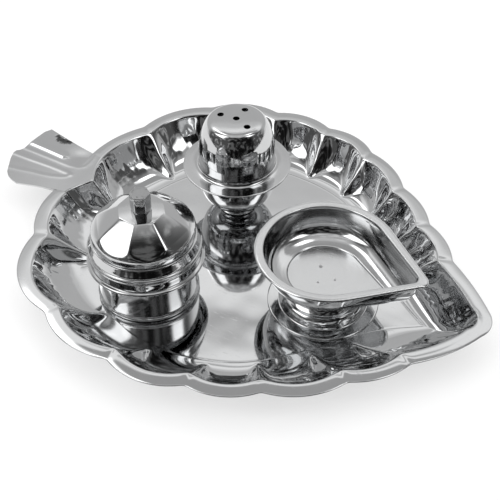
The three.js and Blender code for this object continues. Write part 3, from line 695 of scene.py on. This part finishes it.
def stem_surface(sizes):
    """Points and faces of the stem: a grid ruled between its four edges, and the same beneath.

    A place is the sum of the two rulings less the one through the four corners.
    """
    along, across = np.linspace(0, 1, 90), np.linspace(0, 1, 200)
    near, far = sampled(STEM_NEAR_SIDE, along), sampled(STEM_FAR_SIDE, along)
    near[0, 0] = far[0, 0] = STEM_START
    end = sampled(STEM_END[::-1], across)
    root_y = near[0, 1] + (far[0, 1] - near[0, 1]) * across
    root_x = STEM_INNER + STEM_CUSP_REACH * cusp_taper(root_y) ** 1.5
    root_x = np.minimum(root_x, STEM_START + 14 * np.minimum(across, 1 - across) / 0.06)
    root = np.stack([root_x, root_y], -1)
    u, v = across[None, :, None], along[:, None, None]
    ruled = near[:, None] * (1 - u) + far[:, None] * u + root * (1 - v) + end * v
    corners = (near[0] * (1 - u) + far[0] * u) * (1 - v) + (near[-1] * (1 - u) + far[-1] * u) * v
    place = ruled - corners
    x, y = np.maximum(place[..., 0], -sizes.stem / MM), place[..., 1]
    top = np.stack([x, y, RIM + STEM_LIFT + stem_rise(x, y, sizes)], -1)
    under = top - np.array([0, 0, sizes.sheet / MM])
    low = len(along) * len(across)
    index = np.arange(low).reshape(len(along), len(across))
    quads = np.stack([index[:-1, :-1], index[:-1, 1:], index[1:, 1:], index[1:, :-1]], -1).reshape(-1, 4)
    border = np.concatenate([index[0, :-1], index[:-1, -1], index[-1, :0:-1], index[:0:-1, 0]])
    after = np.roll(border, -1)
    sides = np.stack([border, after, after + low, border + low], -1)
    faces = np.concatenate([quads, quads[:, ::-1] + low, sides])
    return np.concatenate([top, under]).reshape(-1, 3), faces.tolist()


class KUMKUM_OT_stem(bpy.types.Operator):
    """Draws the fan-shaped stem with its rib and creases, running out of the flange"""

    bl_idname = "kumkum.stem"
    bl_label = "Stem"

    def execute(self, context):
        sizes = context.scene.kumkum_tray
        origin = tray_origin(sizes)
        points, faces = stem_surface(sizes)
        stem = closed_mesh("stem_fan", points + origin, faces)
        stem.data.set_sharp_from_angle(angle=STEM_SHARP)
        material = steel("stem_steel_polished", origin, 0.09, marks=STEM_MARKS, stain=0.85)
        finish_piece(stem, material, "tray", "tray_steel", "leaf_tray")
        return {"FINISHED"}


# Powder box: outlines (radius, height); the lid's heights are from the top of the box's wall

BOX_WALL = (
    (0, 0.4), (10, 0.4), (18.6, 0.42), (20.2, 0.55), (21.4, 0.95), (22.0, 1.5), (22.25, 2.1),
    (22.1, 2.7), (21.75, 3.15), (21.6, 3.8), (21.6, 5), (21.6, 14), (21.6, 23.6), (21.75, 25.0),
    (22.3, 25.9), (22.85, 26.5), (23.0, 27.2),
)
LID_SKIRT = (
    (25.9, -7.55), (25.9, -7.2), (25.6, -6.8), (25.0, -6.5), (24.5, -6.25), (24.7, -5.9), (24.8, -5.2),
    (24.8, -3.0), (24.8, -1.9), (24.7, -1.6), (24.35, -1.35), (24.7, -1.1), (24.98, -0.6), (25.0, 0.0),
    (24.85, 0.5), (24.45, 0.75), (24.3, 0.95), (24.38, 1.2), (24.25, 1.65), (23.8, 2.8), (23.3, 4.1),
    (23.05, 4.75), (22.85, 5.0), (22.5, 5.08),
)
LID_GROOVE = ((22.5, 5.08), (22.0, 5.1), (21.9, 5.2))
DOME_FOOT, DOME_KNEE, DOME_RISE = 5.25, 13.0, 19.4
SWELL_START = 12.0
CROWN, CROWN_DROP, CROWN_EDGE = 9.4, 0.35, 0.15

# Rings of the crown: (distance inward from the dome's edge, share of the way onto the crown)
CROWN_RINGS = np.array([
    (0.1, 0.55), (0.22, 0.85), (0.4, 1), (0.8, 1), (1.6, 1), (2.6, 1), (4, 1), (5.5, 1), (7, 1),
])
FLATS, FLAT_BEND = 8, 0.12

# Lines (height, distance from the axis) of a flat's middle and of the drum that cuts its foot round
FLAT_LINE = (
    (5, 26.8), (8, 23.85), (9, 22.8), (10, 21.7), (11, 20.55), (12, 19.3), (13, 18.0), (15, 15.3),
    (17, 12.55), (19.4, 9.23),
)
DRUM_LINE = (
    (5.2, 21.9), (5.6, 22.3), (6.2, 22.5), (8, 22.6), (9.2, 22.4), (10, 22.0), (11, 21.3), (12, 20.6),
    (13, 19.9), (19.4, 17.0),
)
KNOB_SIDES, KNOB_FOOT, KNOB_FOOT_EDGE = 6, 3.75, 0.1
KNOB_SIDE = ((0, 0.25), (0, 0.5), (0, 0.8))


class KUMKUM_OT_box(bpy.types.Operator):
    """Spins the powder box's cup with its base bead and flared lip"""

    bl_idname = "kumkum.box"
    bl_label = "Powder Box"

    def execute(self, context):
        wall = context.scene.kumkum_box.wall / MM
        base, height = node_base("box_body"), node_size("box_body")[2]
        path = [*BOX_WALL, (BOX_WALL[-1][0], height - wall / 2)]
        piece = spun("powder_box_cup", path, wall, base)
        material = steel("box_steel_spun", base, 0.12, 1.0, brushed=0.7)
        finish_piece(piece, material, "box", "spun_steel", "box_body")
        return {"FINISHED"}


def flat_sides(angle, apothem, first, sides, bend, least):
    """Distance of each side of a regular prism in each direction: apothem / cos(apart).

    apart is the angle to the side's middle. The distance is drawn in by bend * apart^2, and is
    far off where the cosine is under least.
    """
    middles = first + (np.arange(sides) + 0.5) * TAU / sides
    apart = (angle[..., None] - middles + math.pi) % TAU - math.pi
    turn = np.cos(apart)
    distance = np.asarray(apothem)[..., None] / np.maximum(turn, least) * (1 - bend * apart**2)
    return np.where(turn > least, distance, FAR_OFF)


def dome_radius(height, angle, sizes):
    """Radius of the faceted dome at heights (row, 1) over its seat and angles about its axis.

    A flat's distance from the axis follows a line that steepens downward, with a swell. The
    drum gives a round radius, and the soft least of the drum and all the flats counts.
    """
    share = np.maximum((height - SWELL_START) / (DOME_RISE - SWELL_START), 0)
    apothem = np.interp(height, *smooth_path(FLAT_LINE, 8).T) + sizes.swell / MM * 4 * share * (1 - share)
    flats = flat_sides(angle, apothem, sizes.ridge_angle, FLATS, FLAT_BEND, 0.25)
    drum = np.interp(height, *smooth_path(DRUM_LINE, 8).T)
    drum = np.broadcast_to(drum[..., None], (*flats.shape[:-1], 1))
    return soft_least(np.concatenate([flats, drum], -1), sizes.ridge / MM)


def lid_surface(sizes):
    """Points and faces of the lid: turned skirt, faceted dome and crown, and the same inside.

    The inside is the outside drawn in toward the axis by the wall, and lowered where it is flat.
    """
    wall = sizes.wall / MM
    angle, circle = unit_circle(384)
    skirt = np.concatenate([smooth_path(LID_SKIRT), smooth_path(LID_GROOVE, 3)[1:]])
    skirt = round_rings(skirt, len(circle))
    top = DOME_RISE - CROWN_DROP - CROWN_EDGE
    height = np.concatenate([np.linspace(DOME_FOOT, DOME_KNEE, 70), np.linspace(DOME_KNEE, top, 24)[1:]])
    height = height[:, None]
    radius = dome_radius(height, angle, sizes)
    dome = level_rings(circle, radius, height)
    radius = radius[-1] - CROWN_RINGS[:, :1]
    blend = CROWN_RINGS[:, 1:]
    crown = top * (1 - blend) + (DOME_RISE - CROWN_DROP * (radius / CROWN) ** 2) * blend
    outer = np.concatenate([skirt, dome, level_rings(circle, radius, crown)])
    inner = outer[::-1][::2].copy()
    inner[:, :, :2] *= np.maximum(1 - wall / np.linalg.norm(inner[:, :, :2], axis=2), 0)[:, :, None]
    inner[:, :, 2] -= wall * smoothstep(4.5, 15, inner[:, :, 2])
    rings = np.concatenate([inner, outer])
    return ring_stack(rings, [0, 0, DOME_RISE - wall], [0, 0, DOME_RISE])


class KUMKUM_OT_lid(bpy.types.Operator):
    """Forms the lid: lip, band, bead, shoulder and a dome of eight flats"""

    bl_idname = "kumkum.lid"
    bl_label = "Lid"

    def execute(self, context):
        base = node_base("box_body") + np.array([0, 0, node_size("box_body")[2]])
        points, faces = lid_surface(context.scene.kumkum_box)
        lid = closed_mesh("box_lid_shell", points + base, faces)
        material = steel("lid_steel_spun", base, 0.05, 0.5, 0.35, brushed=0.3)
        finish_piece(lid, material, "box_lid", "spun_steel", "box_lid")
        return {"FINISHED"}


class KUMKUM_OT_knob(bpy.types.Operator):
    """Cuts the six-sided knob with its softened edges, and finishes the screw inside the lid"""

    bl_idname = "kumkum.knob"
    bl_label = "Knob"

    def execute(self, context):
        sizes = context.scene.kumkum_box
        base, height, soft = node_base("box_knob"), node_size("box_knob")[2], sizes.knob_edge / MM
        angle, circle = unit_circle(240)
        apothem = sizes.knob / MM * math.cos(math.pi / KNOB_SIDES)
        flats = flat_sides(angle, apothem, sizes.knob_angle, KNOB_SIDES, 0.0, 0.3)
        share = np.linspace(0, 1, 6)
        foot = np.stack([(1 - share) ** 2, share**2], 1) * KNOB_FOOT_EDGE
        top = np.stack([share**2, -((1 - share) ** 2)], 1) * soft + (0, height)
        inset, z = np.concatenate([[(1.5, 0)], foot, KNOB_SIDE, top, [(1.5, height)]]).T[..., None]
        radius = np.minimum(soft_least(flats, soft * 0.4), KNOB_FOOT + z) - inset
        points, faces = ring_stack(level_rings(circle, radius, z), [0, 0, 0], [0, 0, height])
        knob = closed_mesh("lid_knob", points + base, faces)
        material = steel("knob_steel_turned", base, 0.1, 1.6, 0.25, tint="knob", top=base[2] + height)
        finish_piece(knob, material, "box_lid", "solid_steel", "box_knob")
        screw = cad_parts["knob_screw"]
        screw.data.materials.clear()
        screw.data.materials.append(steel("screw_steel_plain", base, 0.3, 2.0, 0.2, tint="knob"))
        return {"FINISHED"}


# Shaker: outlines (radius, height); the cap's dome has its depth below the top in place of z

CUP_BELLY = (
    (0, 4.3), (5, 4.3), (8.6, 4.4), (11.4, 4.9), (13.6, 6.2), (15.2, 8.0), (16.4, 10.2), (17.3, 12.7),
    (17.9, 15.2), (18.4, 18.2), (18.7, 21.5), (18.9, 23.2), (19.5, 24.2), (20.3, 24.75), (20.9, 24.85),
)
CUP_FOOT = ((8.05, 4.0), (8.0, 3.4), (8.0, 2.6), (8.15, 1.7), (8.6, 0.9), (8.95, 0.55), (9.0, 0.35))
CUP_NECK = ((16.2, 24.5), (16.9, 24.5), (16.9, 29.6), (16.75, 29.8), (16.35, 29.8), (16.2, 29.6))
CAP_DOME = (
    (0, 0), (5, 0.05), (9, 0.22), (11.6, 0.5), (12.9, 0.95), (13.9, 2.1), (14.9, 3.9), (15.7, 5.8),
    (16.5, 8.4), (17.15, 11.2), (17.6, 14.2), (17.75, 17),
)
CAP_BRIM = (
    (17.75, 4.6), (17.8, 2.9), (18.1, 1.75), (18.7, 0.95), (19.6, 0.5), (20.6, 0.38), (23.0, 0.36),
)
BRIM_EDGE = 25.25
HOLE_TURNS = (184.0, 89.0, -23.0)


class KUMKUM_OT_shaker_cup(bpy.types.Operator):
    """Spins the shaker's round-bellied cup on its foot ring"""

    bl_idname = "kumkum.shaker_cup"
    bl_label = "Shaker Cup"

    def execute(self, context):
        wall = context.scene.kumkum_shaker.wall / MM
        base = node_base("shaker_cup")
        piece = spun("shaker_cup_belly", CUP_BELLY, wall, base)
        foot = smooth_path(CUP_FOOT, 5)
        ring = np.concatenate([foot + (0.3, 0), (foot - (0.35, 0))[::-1]])
        material = steel("shaker_steel_spun", base, 0.07, 0.9, 0.4, brushed=0.5)
        finish_piece(piece, material, "shaker", "spun_steel", "shaker_cup")
        for name, outline in (("shaker_foot_ring", ring), ("shaker_neck", CUP_NECK)):
            part = hoop(name, outline, base)
            finish_piece(part, material, "shaker", "spun_steel")
        return {"FINISHED"}


class KUMKUM_OT_shaker_cap(bpy.types.Operator):
    """Spins the cap's brim and dome, and drills its four sprinkling holes"""

    bl_idname = "kumkum.shaker_cap"
    bl_label = "Shaker Cap"

    def execute(self, context):
        sizes = context.scene.kumkum_shaker
        wall, circle = sizes.wall / MM, sizes.circle / MM
        base, height = node_base("shaker_cap"), node_size("shaker_cap")[2]
        dome = [(r, height - wall / 2 - depth) for r, depth in CAP_DOME]
        cap = spun("shaker_cap_dome", [*dome, *CAP_BRIM, (BRIM_EDGE, wall / 2)], wall, base)
        places = [(0, 0), *((circle * math.cos(a), circle * math.sin(a)) for a in np.radians(HOLE_TURNS))]
        for x, y in places:
            drill(cap, base + np.array([x, y, height]), sizes.hole / MM)
        material = steel("cap_steel_spun", base, 0.06, 0.7, 0.4, brushed=0.4)
        finish_piece(cap, material, "shaker_cap", "spun_steel", "shaker_cap")
        return {"FINISHED"}


# Oil lamp: the upper part of the foot's outline has its depth below the top in place of z

FOOT_STEM = (
    (0, 0), (8, 0), (12.6, 0), (13.35, 0.25), (13.5, 0.9), (13.15, 2.2), (13.1, 3.6), (13.5, 5.2),
    (14.4, 6.8), (15.9, 8.2), (17.3, 9.0), (18.2, 10.2), (18.7, 11.6),
)
FOOT_FLARE = ((18.95, 1.5), (19.2, 0.8), (19.7, 0.45))
DISC_START, DISC_MIDDLE, DISC_RADIUS = 20.4, 22.5, 24.8
FOOT_MARKS = ((-22.0, 5.5, 0.9), (4.5, -22.0, 0.9))

# The bowl's drop shape from the foot's axis, and how much each mm of inset sharpens its tip
BOWL_RADIUS, TIP_REACH, TIP_RADIUS, TIP_SHARPEN = 31.3, 45.9, 4.0, 0.16
BOWL_SHIFT = (-0.1, 1.2, 0.0)
BOWL_FLOOR = 15.0

# The bowl's wall: (inset beyond the rim, share of the depth), and its floor's step below that:
# (inset before the floor's edge, height over the sheet's middle)
BOWL_WALL = (
    (-0.12, 0.86), (0.2, 0.66), (0.8, 0.49), (1.65, 0.35), (2.7, 0.247), (3.95, 0.177), (5.5, 0.129),
    (7.3, 0.094), (9.15, 0.071),
)
BOWL_STEP = ((0.5, 0.3), (0.35, 0.06), (0.25, 0), (0.1, 0), (0, 0))
FLOOR_SHARES = np.array([*np.linspace(0.06, 0.86, 11), 0.93, 0.975, 0.99])
BOWL_MARKS = ((-3.6, 2.9, 1.1), (-0.5, -6.5, 0.7), (5.4, -1.7, 0.7))


class KUMKUM_OT_lamp_foot(bpy.types.Operator):
    """Spins the lamp's pedestal and its thin disc"""

    bl_idname = "kumkum.lamp_foot"
    bl_label = "Lamp Foot"

    def execute(self, context):
        wall = context.scene.kumkum_lamp.wall / MM
        base, height = node_base("lamp_foot"), node_size("lamp_foot")[2]
        half = wall / 2
        stem = [(r, height - half - depth) for r, depth in FOOT_STEM]
        disc = [(r, half) for r in (DISC_START, DISC_MIDDLE, DISC_RADIUS - half)]
        foot = spun("lamp_pedestal", [*stem, *FOOT_FLARE, *disc], wall, base)
        material = steel("foot_steel_spun", base, 0.06, 0.8, 0.35, FOOT_MARKS, stain=0.6, brushed=0.4)
        finish_piece(foot, material, "lamp", "spun_steel", "lamp_foot")
        return {"FINISHED"}


def drop_ring(inset, tip_count=17, side_count=30, round_count=150):
    """A drop shape drawn in by an inset: a small tip arc, two straight sides and a round end.

    The sides are tangent where cos(turn) = (round radius - tip radius) / tip distance.
    """
    radius = BOWL_RADIUS - inset
    tip_radius = max(TIP_RADIUS - inset * TIP_SHARPEN, 0.3)
    tip_x = TIP_REACH - TIP_RADIUS - inset
    turn = math.acos((radius - tip_radius) / tip_x)
    tip_angle = np.linspace(-turn, turn, tip_count)
    tip = np.stack([tip_x + tip_radius * np.cos(tip_angle), tip_radius * np.sin(tip_angle)], 1)
    round_angle = np.linspace(turn, TAU - turn, round_count)
    end = np.stack([radius * np.cos(round_angle), radius * np.sin(round_angle)], 1)
    share = np.linspace(0, 1, side_count + 2)[1:-1, None]
    side = tip[-1] * (1 - share) + end[0] * share
    back = end[-1] * (1 - share) + tip[0] * share
    return np.concatenate([tip, side, end, back])


def bowl_surface(depth, wall, rim):
    """Points and faces of the bowl: drop rings along the inside, over the edge and back below.

    The path of the sheet's middle is (inset from the drop's outline, height).
    """
    half = wall / 2
    path = [(0.5, depth + half - 0.25), (0.9, depth + half), (rim - 1.0, depth + half),
            (rim - 0.4, depth + half - 0.1), (rim - 0.2, depth - 0.4)]
    path += [(rim + inset, depth * share) for inset, share in BOWL_WALL]
    path += [(BOWL_FLOOR - 0.7, depth * 0.058)]
    path += [(BOWL_FLOOR - inset, half + rise) for inset, rise in BOWL_STEP]
    path = smooth_path(path, 7)
    path[:, 0] = np.maximum(path[:, 0], half)
    along, across = path_axes(path)
    inside, outside = path - across * half, path + across * half
    turn = np.linspace(0, math.pi, 6)[1:-1, None]
    edge = path[0] - (np.cos(turn) * across[0] + np.sin(turn) * along[0]) * half
    rows = np.concatenate([inside[::-1], edge, outside])
    rings = raised(np.array([drop_ring(inset) for inset in rows[:, 0]]), rows[:, 1:])
    floor = drop_ring(BOWL_FLOOR)
    upper = level_rings(floor, FLOOR_SHARES[:, None], wall)
    lower = level_rings(floor, FLOOR_SHARES[::-1, None], 0.0)
    return ring_stack(np.concatenate([upper, rings, lower]), [0, 0, wall], [0, 0, 0])


class KUMKUM_OT_lamp_bowl(bpy.types.Operator):
    """Forms the drop-shaped oil bowl: flat rim, rounded wall and flat floor"""

    bl_idname = "kumkum.lamp_bowl"
    bl_label = "Lamp Bowl"

    def execute(self, context):
        sizes = context.scene.kumkum_lamp
        wall = sizes.wall / MM
        depth = node_size("lamp_bowl")[2] - wall
        base = np.array([*node_base("lamp_foot")[:2], node_base("lamp_bowl")[2]]) + BOWL_SHIFT
        points, faces = bowl_surface(depth, wall, sizes.rim / MM)
        turn = np.array(Matrix.Rotation(sizes.bowl_angle, 3, "Z"))
        bowl = closed_mesh("lamp_bowl_drop", points @ turn.T + base, faces)
        # The floor and the rim get the bands that are duller and paler as painted light
        dull_lit_bands = (base[2] + wall + 0.15, base[2] + wall + depth - 0.1)
        material = steel("bowl_steel_spun", base, 0.07, 1.0, 0.35, BOWL_MARKS, stain=0.35, dull_lit_bands=dull_lit_bands)
        finish_piece(bowl, material, "lamp", "spun_steel", "lamp_bowl")
        return {"FINISHED"}


# Studio: the camera's place in millimetres, its axes and its roll

CAMERA_PLACE = (169.66, -290.58, 324.88)
CAMERA_RIGHT = (0.87565, 0.48296, 0.0)
CAMERA_FORWARD = (-0.3493, 0.6334, -0.6905)
CAMERA_ROLL = -0.0066
CAMERA_LENS, CAMERA_SENSOR = 72.0, 36.0

# The paper floor in metres: its corners (toward the camera, sideways) and its depth under the tray
FLOOR_CORNERS, FLOOR_DROP = ((0.17, -4.0), (0.17, 4.0), (-4.0, 4.0), (-4.0, -4.0)), 0.3 * MM
FLOOR_WHITE = 0.6
OVERHEAD_SIZE, OVERHEAD_HEIGHT = 4.0, 1.6

# Softboxes, the gap in the wall and the photographer's place in the surroundings, in degrees:
# azimuth, half width, low and high edge, softness
SOFTBOXES = ((-131, 21, 30, 66, 6), (6, 15, 44, 66, 9), (148, 8, 46, 66, 5), (84, 11, 61, 70, 4))
WALL_GAP = (117, 15, 47, 48.8, 1.6)
PHOTOGRAPHER = (-45, 40, -60, 66, 16)
AHEAD, AHEAD_EDGES = (-0.4829, 0.8757), (0.05, 0.5)

# Edges of bands of the surroundings, as sines of the elevation, and how bright or dark they are
WALL_LOW, WALL_HIGH, WALL_TOP = (0.598, 0.634), (0.645, 0.708), (0.768, 0.785)
WALL_LIGHT, WALL_LOW_LIGHT, WALL_HIGH_LIGHT, WALL_TOP_DARK, GAP_DARK = 0.6, 0.14, 0.38, 0.6, 0.5
ROOM_BAND, ROOM_SHADE, CLUTTER_LIGHT, CLUTTER_SHADE = (-0.25, 0.1), 0.3, 0.34, 0.1
ZENITH, ZENITH_LIGHT, HORIZON = (0.88, 0.97), 0.45, (0.16, 0.02)
PATCH_LIGHT, PATCH_SHADE = 0.14, 0.93
PHOTOGRAPHER_DARK, PHOTOGRAPHER_MOTTLE = 0.68, 0.25


def background_rays(tree):
    """1 for rays from the camera, and 1 for rays by way of metal or glass."""
    path = tree.nodes.new("ShaderNodeLightPath")
    camera, glossy, through = (
        Value(tree, path.outputs[f"Is {kind} Ray"]) for kind in ("Camera", "Glossy", "Transmission")
    )
    return camera, glossy.maths("MAXIMUM", through)


def make_floor(finish):
    """A sheet of pale paper, wide to the sides and the back, that ends before the camera."""
    near = np.array(CAMERA_PLACE[:2]) / math.hypot(*CAMERA_PLACE[:2])
    side = np.array([-near[1], near[0]])
    corners = [(*(near * depth + side * width), -FLOOR_DROP) for depth, width in FLOOR_CORNERS]
    mesh = bpy.data.meshes.new("studio_floor")
    mesh.from_pydata(corners, [], [(0, 1, 2, 3)])
    floor = placed("studio_floor", mesh)
    material, tree, shader, place = new_material("floor_paper")
    shader.inputs["Base Color"].default_value = (*finish.floor, 1.0)
    shader.inputs["Roughness"].default_value = 0.9
    white = place.node("ShaderNodeEmission", Color=(1, 1, 1, 1), Strength=1.0)
    camera, mirrored = background_rays(tree)
    share = camera.maths("MAXIMUM", mirrored) * FLOOR_WHITE
    both = place.node("ShaderNodeMixShader", i0=share, i1=shader.outputs["BSDF"], i2=white)
    tree.links.new(both.source, tree.nodes["Material Output"].inputs["Surface"])
    mesh.materials.append(material)


def window(x, y, z, azimuth, half_width, low, high, soft):
    """1 for directions inside a soft-edged window of the surroundings, all angles in degrees.

    Sideways it is open where |across / along| < tan(half width), upward between the sines
    of low and high.
    """
    turn = math.radians(azimuth)
    along = x * math.cos(turn) + y * math.sin(turn)
    across = (y * math.cos(turn) - x * math.sin(turn)).maths("ABSOLUTE")
    ratio = across / along.maths("MAXIMUM", 0.001)
    wide, narrow = (math.tan(math.radians(half_width + side * soft)) for side in (0.5, -0.5))
    foot, sill = (math.sin(math.radians(low + side * soft)) for side in (-0.5, 0.5))
    lintel, top = (math.sin(math.radians(high + side * soft)) for side in (-0.5, 0.5))
    return ratio.step(wide, narrow) * z.step(foot, sill) * z.step(top, lintel) * along.step(0.0, 0.05)


def make_world(scene, finish):
    """White to the camera and, low ahead, to the metal, which also sees a pale wall ahead, four
    softboxes, light overhead, a cluttered room and a dark place where the photographer stands."""
    world = bpy.data.worlds.new("studio")
    world.use_nodes = True
    scene.world = world
    tree = world.node_tree
    tree.nodes.clear()
    start = Value(tree, tree.nodes.new("ShaderNodeTexCoord").outputs["Generated"])
    x, y, z = start.parts()
    soft_patch, clutter = start.noise(2.4, 2.0), start.noise(6.0, 3.0)
    front = (x * AHEAD[0] + y * AHEAD[1]).step(*AHEAD_EDGES)
    wall = z.step(*WALL_LOW) * WALL_LOW_LIGHT + z.step(*WALL_HIGH) * WALL_HIGH_LIGHT + WALL_LIGHT
    wall = wall * (1 - z.step(*WALL_TOP) * WALL_TOP_DARK) * (1 - window(x, y, z, *WALL_GAP) * GAP_DARK)
    room = clutter.step(0.5, 0.62) * CLUTTER_LIGHT + CLUTTER_SHADE
    room = room * (z.step(*ROOM_BAND) * (1 - ROOM_SHADE) + ROOM_SHADE)
    light = (front * wall + (1 - front) * room) * (soft_patch * PATCH_LIGHT + PATCH_SHADE)
    light = light + z.step(*ZENITH) * ZENITH_LIGHT
    mottle = clutter.step(0.62, 0.4) * PHOTOGRAPHER_MOTTLE + PHOTOGRAPHER_DARK
    light = light * (1 - window(x, y, z, *PHOTOGRAPHER) * mottle)
    for box in SOFTBOXES:
        light = light + window(x, y, z, *box) * finish.softbox
    glow = start.node("ShaderNodeBackground", Color=(1, 1, 1, 1), Strength=light)
    plain = start.node("ShaderNodeBackground", Color=(1, 1, 1, 1), Strength=1.0)
    camera, mirrored = background_rays(tree)
    seen = camera.maths("MAXIMUM", mirrored * z.step(*HORIZON) * front)
    both = start.node("ShaderNodeMixShader", i0=seen, i1=glow, i2=plain)
    tree.links.new(both.source, tree.nodes.new("ShaderNodeOutputWorld").inputs["Surface"])


def make_overhead(strength):
    """A large soft light over the floor that the metal doesn't mirror."""
    light = bpy.data.lights.new("overhead", "AREA")
    light.size = OVERHEAD_SIZE
    light.energy = strength * math.pi * OVERHEAD_SIZE**2
    lamp = placed("overhead", light)
    lamp.location = (0, 0, OVERHEAD_HEIGHT)
    lamp.visible_camera = lamp.visible_glossy = False


def make_camera(scene):
    """The camera as it was fitted to the photograph."""
    data = bpy.data.cameras.new("camera")
    data.lens, data.sensor_width, data.clip_start = CAMERA_LENS, CAMERA_SENSOR, 0.01
    scene.camera = camera = placed("camera", data)
    right, forward = Vector(CAMERA_RIGHT), Vector(CAMERA_FORWARD).normalized()
    up = right.cross(forward).normalized()
    turn = Matrix.Rotation(CAMERA_ROLL, 3, -forward)
    axes = Matrix((turn @ right, turn @ up, turn @ -forward)).transposed()
    camera.matrix_world = Matrix.Translation(Vector(CAMERA_PLACE) * MM) @ axes.to_4x4()


class KUMKUM_OT_stage(bpy.types.Operator):
    """Sets the floor, the soft lights, the surroundings and the camera"""

    bl_idname = "kumkum.stage"
    bl_label = "Studio"

    def execute(self, context):
        scene = context.scene
        finish = scene.kumkum_finish
        make_floor(finish)
        make_world(scene, finish)
        make_overhead(finish.overhead)
        make_camera(scene)
        scene.view_settings.view_transform = "Standard"
        return {"FINISHED"}


# Panel and registration

OPERATORS = (
    KUMKUM_OT_tray, KUMKUM_OT_stem, KUMKUM_OT_box, KUMKUM_OT_lid, KUMKUM_OT_knob, KUMKUM_OT_shaker_cup,
    KUMKUM_OT_shaker_cap, KUMKUM_OT_lamp_foot, KUMKUM_OT_lamp_bowl, KUMKUM_OT_stage,
)
SETTINGS = {
    "kumkum_tray": TraySettings,
    "kumkum_box": BoxSettings,
    "kumkum_shaker": ShakerSettings,
    "kumkum_lamp": LampSettings,
    "kumkum_finish": FinishSettings,
}


class KUMKUM_PT_panel(bpy.types.Panel):
    """Lists the sizes, the colours and the operators of the plate"""

    bl_idname = "KUMKUM_PT_panel"
    bl_label = "Kumkum Plate"
    bl_space_type = "VIEW_3D"
    bl_region_type = "UI"
    bl_category = "Kumkum Plate"

    def draw(self, context):
        for key, group in SETTINGS.items():
            box = self.layout.box()
            for name in group.__annotations__:
                box.prop(getattr(context.scene, key), name)
        for operator in OPERATORS:
            self.layout.operator(operator.bl_idname)


def register():
    for cls in (*SETTINGS.values(), *OPERATORS, KUMKUM_PT_panel):
        bpy.utils.register_class(cls)
    for key, group in SETTINGS.items():
        setattr(bpy.types.Scene, key, PointerProperty(type=group))


def unregister():
    for key in SETTINGS:
        delattr(bpy.types.Scene, key)
    for cls in reversed((*SETTINGS.values(), *OPERATORS, KUMKUM_PT_panel)):
        bpy.utils.unregister_class(cls)


def main():
    register()
    for operator in OPERATORS:
        getattr(bpy.ops.kumkum, operator.bl_idname.split(".")[1])()


if __name__ == "__main__":
    main()
